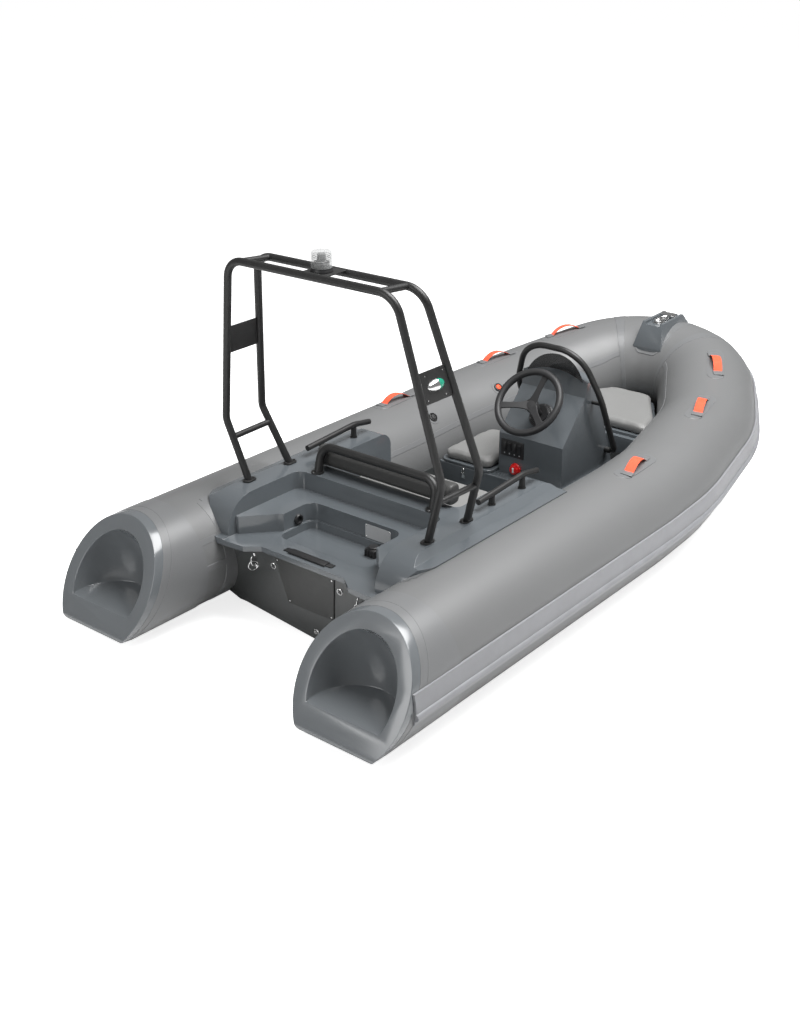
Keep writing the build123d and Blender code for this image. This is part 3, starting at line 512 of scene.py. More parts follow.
def new_object(name: str, mesh: Mesh, finish: Finish, body: str = "boat",
               degrees: float = 38.0) -> Thing:
    """Make an object that rides on a body.

    Args:
        name: The piece's name.
        mesh: Its form; it is used up.
        finish: Its finish.
        body: The body that carries it.
        degrees: Creases sharper than this stay sharp.

    Returns:
        The new object.
    """
    data = bpy.data.meshes.new(name)
    bmesh.ops.recalc_face_normals(mesh, faces=mesh.faces)
    mesh.to_mesh(data)
    mesh.free()
    obj = link(name, data)
    dress(smooth(obj, degrees), finish)
    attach(obj, body)
    LOG.info("made %s", name)
    return obj


def skin_rows(rows: Sequence[Sequence[Vector]], round_rows: bool = False, caps: bool = False,
              mesh: Mesh | None = None) -> Mesh:
    """Join rows of points into a surface.

    Args:
        rows: Rows of points, all as long.
        round_rows: Each row closes on itself.
        caps: The first and last rows are filled.
        mesh: A mesh to add to.

    Returns:
        The mesh.
    """
    mesh = mesh or bmesh.new()
    verts = [[mesh.verts.new(point) for point in row] for row in rows]
    span = len(verts[0])
    for low, high in zip(verts, verts[1:]):
        for index in range(span if round_rows else span - 1):
            after = (index + 1) % span
            mesh.faces.new((low[index], low[after], high[after], high[index]))
    if caps:
        mesh.faces.new(verts[0][::-1])
        mesh.faces.new(verts[-1])
    return mesh


def frames_along(points: Sequence[Vector]) -> list[tuple[Vector, Vector, Vector]]:
    """Steady cross axes along a line: each is a point, a first and a second cross direction.

    Args:
        points: The line.

    Returns:
        A point, a first and a second cross direction for each.
    """
    out = []
    across = None
    for index, point in enumerate(points):
        before = points[max(index - 1, 0)]
        after = points[min(index + 1, len(points) - 1)]
        along = (after - before).normalized()
        if across is None:
            guide = Vector((0, 0, 1)) if abs(along.z) < 0.9 else Vector((0, 1, 0))
            across = along.cross(guide).normalized()
        across = (across - along * across.dot(along)).normalized()
        out.append((point, across, along.cross(across)))
    return out


def add_tube(mesh: Mesh, points: Sequence[Vector], radius: float | Callable[[float], float],
             sides: int = 20) -> Mesh:
    """Add a round tube along points; the radius may vary with the share of the way.

    Args:
        mesh: The mesh to add to.
        points: Its centre line.
        radius: A radius, or a function of the share of the way.
        sides: How many sides its round has.

    Returns:
        The mesh.
    """
    rows = []
    for index, (point, first, second) in enumerate(frames_along(points)):
        size = radius(index / (len(points) - 1)) if callable(radius) else radius
        rows.append([point + first * (size * math.cos(turn)) + second * (size * math.sin(turn))
                     for turn in (2 * math.pi * k / sides for k in range(sides))])
    return skin_rows(rows, True, True, mesh)


def add_turned(mesh: Mesh, place: Matrix, outline: Outline,
               sides: int = 32, caps: bool = True) -> Mesh:
    """Add a turned form: outline gives radius and height, about the place's own z."""
    rows = [circle(place, radius, sides, height)[:-1] for radius, height in outline]
    return skin_rows(rows, True, caps, mesh)


def add_block(mesh: Mesh, place: Matrix, size: Colour, bevel: float) -> Mesh:
    """Add a block with eased edges, centred on a place.

    Args:
        mesh: The mesh to add to.
        place: Frame to build in.
        size: Its three sides.
        bevel: How far each edge is eased.

    Returns:
        The mesh.
    """
    made = bmesh.ops.create_cube(mesh, size=1.0, matrix=place @ Matrix.Diagonal((*size, 1.0)))
    edges = list({edge for vert in made["verts"] for edge in vert.link_edges})
    bmesh.ops.bevel(mesh, geom=edges, offset=bevel, segments=2, profile=0.5, affect="EDGES")
    return mesh


def level(x: float, y: float, z: float) -> Matrix:
    """A frame at a point, its axes along the boat's."""
    return Matrix.Translation(Vector((x, y, z)))


def circle(place: Matrix, radius: float, count: int, height: float = 0.0) -> list[Vector]:
    """Points round a place's own z, the last one on the first."""
    return [place @ Vector((radius * math.cos(turn), radius * math.sin(turn), height))
            for turn in (2 * math.pi * k / count for k in range(count + 1))]


def box_of(node: str) -> tuple[Vector, Vector, Vector, Vector]:
    """A node's low corner, high corner, middle and size."""
    low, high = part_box(node)
    return low, high, (low + high) / 2, high - low


def plane_at(point: Sequence[float], normal: Sequence[float], up: Sequence[float] = (0, 0, 1)) -> Matrix:
    """A frame at a point: z along the normal, y as near to up as it can be.

    Args:
        point: Where it stands.
        normal: Its z direction.
        up: What its y leans to.

    Returns:
        The frame.
    """
    z_axis = Vector(normal).normalized()
    x_axis = Vector(up).cross(z_axis).normalized()
    y_axis = z_axis.cross(x_axis)
    return Matrix.Translation(Vector(point)) @ Matrix((x_axis, y_axis, z_axis)).transposed().to_4x4()


def eased_copy(node: str, width: float, finish: Finish, degrees: float = 32.0,
               body: str = "boat") -> Thing:
    """A copy of a moulded node with its sharp edges rounded, shown in the node's place.

    Args:
        node: The node's name.
        width: How far each edge is rounded back.
        finish: The finish.
        degrees: Edges that turn more than this are rounded.
        body: The body that carries it.

    Returns:
        The new object.
    """
    mesh = bmesh.new()
    mesh.from_mesh(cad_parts[node].data)
    bmesh.ops.remove_doubles(mesh, verts=mesh.verts, dist=2e-5)
    bmesh.ops.dissolve_limit(mesh, angle_limit=math.radians(0.6), verts=mesh.verts, edges=mesh.edges)
    sharp = [edge for edge in mesh.edges
             if len(edge.link_faces) == 2 and edge.calc_face_angle(0.0) > math.radians(degrees)]
    bmesh.ops.bevel(mesh, geom=sharp, offset=width, segments=3, profile=0.6, affect="EDGES",
                    clamp_overlap=True)
    piece = new_object(node + "_moulding", mesh, finish, body, 30.0)
    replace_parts(piece, node)
    return piece


def dress_node(node: str, finish: Finish) -> None:
    """Keep a node's own form and give it a finish."""
    dress(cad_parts[node], finish)


# ---------------------------------------------------------------- the collar's axis
@dataclass(frozen=True)
class Bend:
    """One corner of the collar's axis and the radius that rounds it."""

    x: float
    y: float
    rise: float
    radius: float


@dataclass
class TubeLine:
    """Axis of the starboard half of the collar, from its aft end to the bow."""

    radius: float = 0.251
    axis_x: float = 0.662
    axis_z: float = 0.268
    aft_y: float = -1.570
    bends: tuple[Bend, ...] = (Bend(0.662, 0.093, 0.0, 3.0), Bend(0.655, 0.443, 0.014, 1.6),
                               Bend(0.541, 1.093, 0.066, 0.8), Bend(0.253, 1.617, 0.191, 0.4))
    step: float = 0.02

    def __post_init__(self) -> None:
        """Walk the rounded line and keep evenly spaced points."""
        corners = [Vector((self.axis_x, self.aft_y, self.axis_z))]
        corners += [Vector((bend.x, bend.y, self.axis_z + bend.rise)) for bend in self.bends]
        corners.append(Vector((0.0, corners[-1].y, corners[-1].z)))
        walk = [corners[0]]
        for before, corner, after, bend in zip(corners, corners[1:], corners[2:], self.bends):
            back, ahead = (before - corner).normalized(), (after - corner).normalized()
            half = back.angle(ahead) / 2
            centre = corner + (back + ahead).normalized() * (bend.radius / math.sin(half))
            start = corner + back * (bend.radius / math.tan(half)) - centre
            end = corner + ahead * (bend.radius / math.tan(half)) - centre
            turn = start.angle(end)
            for share in (k / 40 for k in range(41)):
                arm = start * math.sin((1 - share) * turn) + end * math.sin(share * turn)
                walk.append(centre + arm / math.sin(turn))
        walk.append(corners[-1])
        self.walk = walk
        self.runs = [0.0]
        for low, high in zip(walk, walk[1:]):
            self.runs.append(self.runs[-1] + (high - low).length)
        self.length = self.runs[-1]

    def point(self, run: float) -> Vector:
        """Point of the axis at a length from its aft end; less than nought is further aft.

        Args:
            run: Length along the tube from its aft end.

        Returns:
            The point.
        """
        if run <= 0.0:
            return self.walk[0] + Vector((0, run, 0))
        for low, high, near, far in zip(self.runs, self.runs[1:], self.walk, self.walk[1:]):
            if run <= high and high > low:
                return near.lerp(far, (run - low) / (high - low))
        return self.walk[-1].copy()

    def frame(self, run: float) -> tuple[Vector, Vector, Vector, Vector]:
        """Point, direction along, direction outboard and direction up at a length.

        Args:
            run: Length along the tube from its aft end.

        Returns:
            The point and the three directions.
        """
        span = 0.012
        point = self.point(run)
        along = self.point(min(run + span, self.length)) - self.point(min(run - span, self.length - span))
        along.normalize()
        out = along.cross(Vector((0, 0, 1))).normalized()
        return point, along, out, out.cross(along)

    def skin(self, run: float, degrees: float, lift: float = 0.0, side: Side = Side.STARBOARD) -> Vector:
        """Point on the tube's skin: 0 degrees is outboard, 90 is up.

        Args:
            run: Length along the tube from its aft end.
            degrees: Angle round the tube.
            lift: How far it stands off the skin.
            side: Which side of the boat.

        Returns:
            The point.
        """
        point, along, out, above = self.frame(run)
        turn = math.radians(degrees)
        place = point + (out * math.cos(turn) + above * math.sin(turn)) * (self.radius + lift)
        return Vector((place.x * side.value, place.y, place.z))

    def seat(self, run: float, degrees: float, side: Side = Side.STARBOARD) -> Matrix:
        """Frame on the skin: x along the tube, z straight out.

        Args:
            run: Length along the tube from its aft end.
            degrees: Angle round the tube.
            side: Which side of the boat.

        Returns:
            The frame.
        """
        point, along, out, above = self.frame(run)
        turn = math.radians(degrees)
        normal = out * math.cos(turn) + above * math.sin(turn)
        flip = Vector((side.value, 1.0, 1.0))
        origin = (point + normal * self.radius) * flip
        along, normal = along * flip, normal * flip
        return Matrix.Translation(origin) @ Matrix((along, normal.cross(along), normal)).transposed().to_4x4()


LINE = TubeLine()
HANDLE_RUNS = (1.690, 2.460, 2.955)     # lengths along the tube
HANDLE_DEGREES = 84.0
VALVE_RUNS = (1.750, 2.280)
VALVE_DEGREES = 132.0


@dataclass
class Collar:
    """The inflated tube: its chambers, its sewn tapes and the pads that bear its fittings."""

    line: TubeLine
    seam_run: float = 3.25
    sides: int = 112
    tape_width: float = 0.050
    tape_lift: float = 0.0013
    tape_edge: float = 0.0013
    sunk: float = -0.0005           # a tape's own edge lies this far into the skin
    skin_inset: float = -0.0006
    part_bands: tuple[tuple[float, float, tuple[float, float]], ...] = (
        (0.285, 0.075, (108.0, 262.0)), (0.235, 0.030, (112.0, 258.0)))
    seams: tuple[tuple[float, float], ...] = ((148.0, 154.0), (-44.0, -38.0))
    sleeves: tuple[tuple[float, float], ...] = ((0.045, 0.0012), (0.086, 0.0022))
    cone_rim_y: float = -1.781      # the cone's leaning face at the height of the tube's axis
    cone_lean: float = 31.6
    cone_foot: tuple[float, float, float] = (-1.890, 0.092, 2.5333)     # y, top and slope of its foot

    def ring(self, run: float, side: Side = Side.STARBOARD) -> list[Vector]:
        """One ring of points round the tube."""
        return [self.line.skin(run, 360.0 * k / self.sides, self.skin_inset, side) for k in range(self.sides)]

    def chamber(self, side: Side) -> None:
        """Make one side's chamber.

        Args:
            side: Which side of the boat.
        """
        node = "collar_" + side.name.lower()
        count = int(self.seam_run / self.line.step)
        rows = [self.ring(k * self.seam_run / count, side) for k in range(count + 1)]
        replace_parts(new_object(node + "_tube", skin_rows(rows, True, True), FABRIC, degrees=50.0), node)

    def strip(self, mesh: Mesh, side: Side, runs: Sequence[float],
              edges: tuple[float, float]) -> None:
        """Add a bonded strip along the tube, between two angles.

        Args:
            mesh: The mesh to add to.
            side: Which side of the boat.
            runs: Lengths along the tube that it passes.
            edges: Angles of its two edges.
        """
        low, high = edges
        edge = math.degrees(self.tape_edge / self.line.radius)
        inner = [low + (high - low) * k / 4 for k in (1, 2, 3)]
        angles = [low, low + edge, *inner, high - edge, high]
        lifts = [self.sunk] + [self.tape_lift] * 5 + [self.sunk]
        rows = [[self.line.skin(run, angle, lift, side) for angle, lift in zip(angles, lifts)]
                for run in runs]
        skin_rows(rows, mesh=mesh)

    def band(self, mesh: Mesh, side: Side, run: float, width: float,
             angles: tuple[float, float]) -> None:
        """Add a bonded band round the tube at a length.

        Args:
            mesh: The mesh to add to.
            side: Which side of the boat.
            run: Length along the tube from its aft end.
            width: Its width along the tube.
            angles: Angles where it starts and ends.
        """
        count = max(6, int(abs(angles[1] - angles[0]) / 4))
        places = [(-width / 2, self.sunk), (-width / 2 + self.tape_edge, self.tape_lift),
                  (width / 2 - self.tape_edge, self.tape_lift), (width / 2, self.sunk)]
        rows = [[self.line.skin(run + shift, angles[0] + (angles[1] - angles[0]) * k / count, lift, side)
                 for shift, lift in places] for k in range(count + 1)]
        skin_rows(rows, mesh=mesh)

    def pad(self, mesh: Mesh, side: Side, run: float, degrees: float,
            size: tuple[float, float], corner: float = 0.03, lift: float = 0.0018) -> None:
        """Add a bonded pad with rounded corners, bent to the skin.

        Args:
            mesh: The mesh to add to.
            side: Which side of the boat.
            run: Length of its middle.
            degrees: Angle of its middle.
            size: Its length along the tube and its width round it.
            corner: Radius of its corners.
            lift: How far it stands off the skin.
        """
        half_x, half_y = size[0] / 2, size[1] / 2
        outline = []
        for quarter, (sx, sy) in enumerate(((1, 1), (-1, 1), (-1, -1), (1, -1))):
            for k in range(7):
                turn = math.radians(90.0 * quarter + 15.0 * k)
                outline.append((sx * (half_x - corner) + corner * math.cos(turn),
                                sy * (half_y - corner) + corner * math.sin(turn)))
        rings = []
        for scale, height in ((1.0, self.sunk), (0.985, lift), (0.66, lift), (0.33, lift)):
            turn = math.degrees(scale / self.line.radius)
            rings.append([self.line.skin(run + x * scale, degrees + y * turn, height, side)
                          for x, y in outline])
        skin_rows(rings, True, mesh=mesh)
        mesh.faces.new([mesh.verts.new(point) for point in rings[-1]])

    def build(self) -> None:
        """Make the chambers, tapes and pads."""
        for side in Side:
            self.chamber(side)
        self.bow_chamber()
        tapes = bmesh.new()
        runs = [0.08 + (self.seam_run - 0.11) * k / 120 for k in range(121)]
        for side in Side:
            self.band(tapes, side, self.seam_run, self.tape_width, (-170.0, 190.0))
            for run, width, angles in self.part_bands:
                self.band(tapes, side, run, width, angles)
            for angles in self.seams:
                self.strip(tapes, side, runs, angles)
            self.strip(tapes, side, runs[:8], (174.0, 181.0))
            for ahead, lift in self.sleeves:
                self.sleeve(tapes, side, ahead, lift)
            for run in HANDLE_RUNS:
                self.pad(tapes, side, run, HANDLE_DEGREES, (0.300, 0.086), 0.042, 0.0011)
        for run in VALVE_RUNS:
            self.pad(tapes, Side.PORT, run, VALVE_DEGREES, (0.074, 0.074), 0.0365, 0.0012)
        self.bow_patch(tapes)
        new_object("collar_tapes", tapes, TAPE, degrees=24.0)

    def sleeve(self, mesh: Mesh, side: Side, ahead: float, lift: float) -> None:
        """Add cloth drawn over the end cone, its aft edge parallel to the cone's leaning face.

        Args:
            mesh: The mesh to add to.
            side: Which side of the boat.
            ahead: How far its aft edge lies ahead of the cone's face.
            lift: How far it stands off the skin.
        """
        foot_y, foot_top, foot_slope = self.cone_foot
        rows = []
        for k in range(self.sides + 1):
            turn = math.radians(-90.0 + 360.0 * k / self.sides)
            x = self.line.axis_x + self.line.radius * math.cos(turn)
            z = self.line.axis_z + self.line.radius * math.sin(turn)
            edge = self.cone_rim_y + (z - self.line.axis_z) * math.tan(math.radians(self.cone_lean)) + ahead
            edge = max(edge, foot_y + max(foot_top - z, 0.0) * foot_slope + 0.018)
            end = max(self.line.aft_y + 0.030 + ahead, edge + 0.030)
            row = []
            for y, out in ((edge, -0.0004), (edge + self.tape_edge, lift), ((edge + end) / 2, lift),
                           (end - self.tape_edge, lift), (end, -0.0004)):
                spread = (self.line.radius + out) / self.line.radius
                row.append(Vector(((self.line.axis_x + (x - self.line.axis_x) * spread) * side.value, y,
                                   self.line.axis_z + (z - self.line.axis_z) * spread)))
            rows.append(row)
        skin_rows(rows, mesh=mesh)

    def bow_patch(self, mesh: Mesh) -> None:
        """Add the patch that the bow bracket stands on.

        Args:
            mesh: The mesh to add to.
        """
        rings = []
        for scale, lift in ((1.0, self.sunk), (0.98, 0.0020), (0.5, 0.0020)):
            ring = []
            for k in range(56):
                turn = 2 * math.pi * k / 56
                wide, deep = self.squared(math.cos(turn)), self.squared(math.sin(turn))
                reach = (0.112 - 0.020 * deep) * wide * scale
                side = Side.STARBOARD if reach >= 0 else Side.PORT
                run = self.line.length - abs(reach)
                ring.append(self.line.skin(run, 106.0 - 47.0 * deep * scale, lift, side))
            rings.append(ring)
        skin_rows(rings, True, mesh=mesh)
        mesh.faces.new([mesh.verts.new(point) for point in rings[-1]])

    def squared(self, share: float) -> float:
        """Push a circle's coordinate out towards a rounded square's."""
        return math.copysign(abs(share) ** 0.45, share)

    def bow_chamber(self) -> None:
        """Make the chamber that goes round the bow."""
        half = [self.seam_run + (self.line.length - self.seam_run) * k / 14 for k in range(15)]
        rows = [self.ring(run) for run in half]
        other = [[Vector((-p.x, p.y, p.z)) for p in row] for row in reversed(rows[:-1])]
        piece = new_object("collar_bow_tube", skin_rows(rows + other, True, True), FABRIC, degrees=50.0)
        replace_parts(piece, "collar_bow")


@dataclass
class EndCones:
    """Moulded end cones with a boarding step in each."""

    edge: float = 0.005

    def build(self) -> None:
        """Ease the edges of both cones."""
        for node in ("cone_port", "cone_starboard"):
            eased_copy(node, self.edge, CONE, 30.0)


@dataclass
class HullShell:
    """V hull, transom and its fittings."""

    slope: float = 8.9
    top_y: float = -1.305
    top_z: float = 0.366
    plate_screws: tuple[tuple[float, float], ...] = ((0.150, 0.016), (0.116, 0.210))
    eye: tuple[float, float] = (0.292, 0.066)
    drain: tuple[float, float] = (0.184, 0.059)
    keel_drain: tuple[float, float] = (0.012, 0.322)

    def face(self, x: float, down: float, lift: float = 0.0) -> Matrix:
        """Frame on the transom's outer face, some way down from its top edge.

        Args:
            x: Place across.
            down: How far down the slope.
            lift: How far it stands off the skin.

        Returns:
            The frame.
        """
        lean = math.radians(self.slope)
        normal = Vector((0.0, -math.cos(lean), -math.sin(lean)))
        point = Vector((x, self.top_y + down * math.sin(lean), self.top_z - down * math.cos(lean)))
        return plane_at(point + normal * lift, normal)

    def build(self) -> None:
        """Dress the hull, the sole and what is on the transom."""
        eased_copy("hull", 0.004, DARK_GELCOAT)
        dress_node("sole", DECK)
        dress_node("rub_rail_port", RAIL)
        dress_node("rub_rail_starboard", RAIL)
        eased_copy("motor_plate", 0.0015, PLATE)
        self.strip()
        self.rings()
        self.drains()
        self.screws()

    def strip(self) -> None:
        """Make the clamp strip: a thick rubber bar with a thin foot at each end."""
        low, _, middle, size = box_of("clamp_strip")
        mesh = bmesh.new()
        add_block(mesh, Matrix.Translation(middle), (size.x - 0.060, size.y, size.z), 0.0025)
        thin = level(middle.x, middle.y + 0.004, low.z + 0.002)
        add_block(mesh, thin, (size.x, size.y - 0.008, 0.0038), 0.001)
        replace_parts(new_object("clamp_bar", mesh, BLACK_PLASTIC), "clamp_strip")

    def rings(self) -> None:
        """Make the towing eyes: a bail on two studs with a ring hung in it."""
        mesh = bmesh.new()
        for side in Side:
            x, down = self.eye[0] * side.value, self.eye[1]
            for shift in (-0.027, 0.027):
                add_turned(mesh, self.face(x, down + shift, 0.0005),
                           [(0.0085, 0.0), (0.0085, 0.003), (0.006, 0.0055), (0.002, 0.0065)], 20)
            foot = self.face(x, down, 0.002)
            bail = [foot @ Vector((0.0, 0.027 * math.cos(turn), 0.022 * math.sin(turn)))
                    for turn in (math.radians(15.0 * k) for k in range(13))]
            add_tube(mesh, bail, 0.0035, 12)
            hung = self.face(x, down, 0.016) @ Matrix.Rotation(math.radians(62.0), 4, "Y")
            add_tube(mesh, circle(hung @ level(0.0, -0.020, 0.0), 0.021, 36), 0.0026, 12)
        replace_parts(new_object("towing_eyes", mesh, STEEL), "towing_rings")

    def drains(self) -> None:
        """Make the drain sockets: a steel collar round a black disc of painted shade for the bore, and the
        keel drain.
        """
        collars, bore_shade_discs = bmesh.new(), bmesh.new()
        for side in Side:
            place = self.face(self.drain[0] * side.value, self.drain[1], 0.0004)
            add_turned(collars, place, [(0.0105, 0.0), (0.0158, 0.0), (0.0158, 0.0022), (0.0140, 0.0042),
                                        (0.0118, 0.0042), (0.0105, 0.0010)], 40, False)
            # painted shade: a flat black disc inside each collar stands in for the dark hole of the bore
            add_turned(bore_shade_discs, place, [(0.0106, 0.0), (0.0106, 0.0008), (0.0006, 0.0008)], 32)
        add_turned(collars, self.face(*self.keel_drain, 0.0004),
                   [(0.013, 0.0), (0.013, 0.003), (0.008, 0.006), (0.008, 0.011), (0.002, 0.012)], 28)
        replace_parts(new_object("drain_collars", collars, STEEL), "drain_sockets")
        new_object("drain_bores", bore_shade_discs, BLACK_PLASTIC)

    def screws(self) -> None:
        """Set the plate's corner screws."""
        mesh = bmesh.new()
        for x, down in self.plate_screws:
            for side in Side:
                add_turned(mesh, self.face(x * side.value, down, 0.0052),
                           [(0.0042, 0.0), (0.0036, 0.0012), (0.0012, 0.0016)], 16)
        new_object("plate_screws", mesh, STEEL)


@dataclass
class SternMoulding:
    """Side decks, splash well, ledge and bench."""

    edge: float = 0.014

    def build(self) -> None:
        """Ease the moulding and dress what is in the well."""
        eased_copy("stern_deck", self.edge, GELCOAT, 30.0)
        self.hose_ring()
        self.plate()
        self.housing()

    def hose_ring(self) -> None:
        """Make the round hose fitting: a thick lip round a black disc in the fitting's own plastic that also
        paints the shade down the bore.
        """
        low, _, middle, _ = box_of("hose_fitting")
        place = plane_at((low.x, middle.y, middle.z), (1, 0, 0))
        mesh = bmesh.new()
        add_turned(mesh, place, [(0.0120, 0.0), (0.0235, 0.0), (0.0238, 0.004), (0.0215, 0.0100),
                                 (0.0180, 0.0118), (0.0145, 0.0105), (0.0120, 0.0010)], 48, False)
        # black disc closing the bore: the fitting's own black plastic, standing in for the shade down the
        # hole (painted shade)
        add_turned(mesh, place, [(0.0121, 0.0002), (0.0121, 0.0018), (0.0006, 0.0020)], 32)
        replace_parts(new_object("hose_ring", mesh, BLACK_PLASTIC, degrees=50.0), "hose_fitting")

    def plate(self) -> None:
        """Make the blank plate with a pin in each corner."""
        low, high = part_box("rating_plate")
        dress_node("rating_plate", GREY_PLATE)
        pins = bmesh.new()
        for x in (low.x + 0.006, high.x - 0.006):
            for z in (low.z + 0.006, high.z - 0.006):
                add_turned(pins, plane_at((x, low.y, z), (0, -1, 0)),
                           [(0.003, -0.0002), (0.0026, 0.0009), (0.0008, 0.0013)], 14)
        new_object("plate_pins", pins, STEEL)

    def housing(self) -> None:
        """Make the black drain housing: a ribbed body under a round cap."""
        _, high, middle, size = box_of("filter_box")
        mesh = bmesh.new()
        add_block(mesh, level(middle.x, middle.y, middle.z - 0.004),
                  (size.x - 0.006, size.y - 0.006, size.z - 0.008), 0.006)
        for share in (-0.36, -0.12, 0.12, 0.36):
            add_block(mesh, level(middle.x + size.x * share, middle.y, middle.z - 0.006),
                      (0.005, size.y, size.z - 0.014), 0.001)
        add_turned(mesh, level(middle.x, middle.y, high.z - 0.009),
                   [(0.022, 0.0), (0.022, 0.006), (0.019, 0.009), (0.004, 0.009)], 32)
        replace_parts(new_object("drain_housing", mesh, BLACK_PLASTIC), "filter_box")


@dataclass
class Pad:
    """A stuffed seat made from a node's own form."""

    node: str
    body: str
    voxel: float = 0.007
    shrink: float = 0.006
    pressure: float = 3.5
    cap: float = 0.010
    finish: Finish = VINYL

    def build(self) -> Thing:
        """Make the pad, puffed up by a short cloth run.

        Returns:
            The pad.
        """
        mesh = bmesh.new()
        mesh.from_mesh(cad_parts[self.node].data)
        bmesh.ops.remove_doubles(mesh, verts=mesh.verts, dist=2e-5)
        low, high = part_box(self.node)
        middle = (low + high) / 2
        for vert in mesh.verts:
            for axis in range(3):
                half = (high[axis] - low[axis]) / 2
                vert.co[axis] = middle[axis] + (vert.co[axis] - middle[axis]) * (half - self.shrink) / half
        piece = new_object(self.node + "_pad", mesh, self.finish, self.body, 60.0)
        remesh = piece.modifiers.new("even", "REMESH")
        remesh.mode = "VOXEL"
        remesh.voxel_size = self.voxel
        self.settle(piece, "even")
        self.puff(piece, low.z)
        soften = piece.modifiers.new("soften", "SMOOTH")
        soften.iterations = 4
        self.settle(piece, "soften")
        divide = piece.modifiers.new("divide", "SUBSURF")
        divide.levels = 1
        self.settle(piece, "divide")
        dress(smooth(piece, 80.0), self.finish)
        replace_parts(piece, self.node)
        return piece

    def settle(self, piece: Thing, modifier: str) -> None:
        """Apply one modifier.

        Args:
            piece: The pad.
            modifier: The modifier's name.
        """
        bpy.context.view_layer.objects.active = piece
        with bpy.context.temp_override(object=piece, active_object=piece, selected_objects=[piece]):
            bpy.ops.object.modifier_apply(modifier=modifier)

    def puff(self, piece: Thing, floor: float) -> None:
        """Blow the pad up as cloth for a few steps, and hold how far a point may go.

        Args:
            piece: The pad.
            floor: Height of what it rests on.
        """
        start = [vert.co.copy() for vert in piece.data.vertices]
        cloth = piece.modifiers.new("cloth", "CLOTH")
        cloth.settings.use_pressure = True
        cloth.settings.uniform_pressure_force = self.pressure
        cloth.settings.effector_weights.gravity = 0.0
        cloth.settings.quality = 4
        scene = bpy.context.scene
        for step in range(1, 16):
            scene.frame_set(step)
        shaped = piece.evaluated_get(bpy.context.evaluated_depsgraph_get()).data
        ends = [vert.co.copy() for vert in shaped.vertices]
        piece.modifiers.remove(cloth)
        scene.frame_set(1)
        for vert, first, last in zip(piece.data.vertices, start, ends):
            move = last - first
            if move.length > self.cap:
                move *= self.cap / move.length
            vert.co = first + move
            vert.co.z = max(vert.co.z, floor + 0.0006)


@dataclass
class Seating:
    """Bench, backrest and loose seat cushions."""

    stitches: int = 90
    rows_up: tuple[float, float] = (0.020, 0.030)
    hoop_foot: Colour = (0.315, -0.872, 0.5562)
    bolt_reach: float = 0.023

    def build(self) -> None:
        """Make every pad and dress the backrest bar."""
        Pad("bench_cushion", "boat").build()
        Pad("backrest_bolster", "boat", cap=0.005, finish=DARK_VINYL).build()
        Pad("port_cushion", "side_seat").build()
        Pad("bow_cushion", "bow_seat").build()
        dress_node("backrest_hoop", BLACK_FRAME)
        self.stitching()
        for node in ("grab_rail_port", "grab_rail_starboard"):
            dress_node(node, BLACK_FRAME)
        self.bolts()

    def stitching(self) -> None:
        """Run two rows of stitching along the bolster's aft face."""
        low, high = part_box("backrest_bolster")
        mesh = bmesh.new()
        for up in self.rows_up:
            for k in range(self.stitches):
                x = low.x + 0.03 + (high.x - low.x - 0.06) * k / self.stitches
                place = level(x + 0.002, low.y + 0.0062, low.z + up)
                add_block(mesh, place, (0.0048, 0.0016, 0.0012), 0.0004)
        new_object("bolster_stitching", mesh, THREAD)

    def bolts(self) -> None:
        """Set bolt heads in the feet of the backrest bar and grab rails."""
        x, y, z = self.hoop_foot
        mesh = bmesh.new()
        for side in Side:
            for reach in (-self.bolt_reach, self.bolt_reach):
                add_turned(mesh, level(x * side.value, y + reach, z),
                           [(0.0036, 0.0), (0.0036, 0.002), (0.0016, 0.003)], 14)
        new_object("seat_bolts", mesh, STEEL)


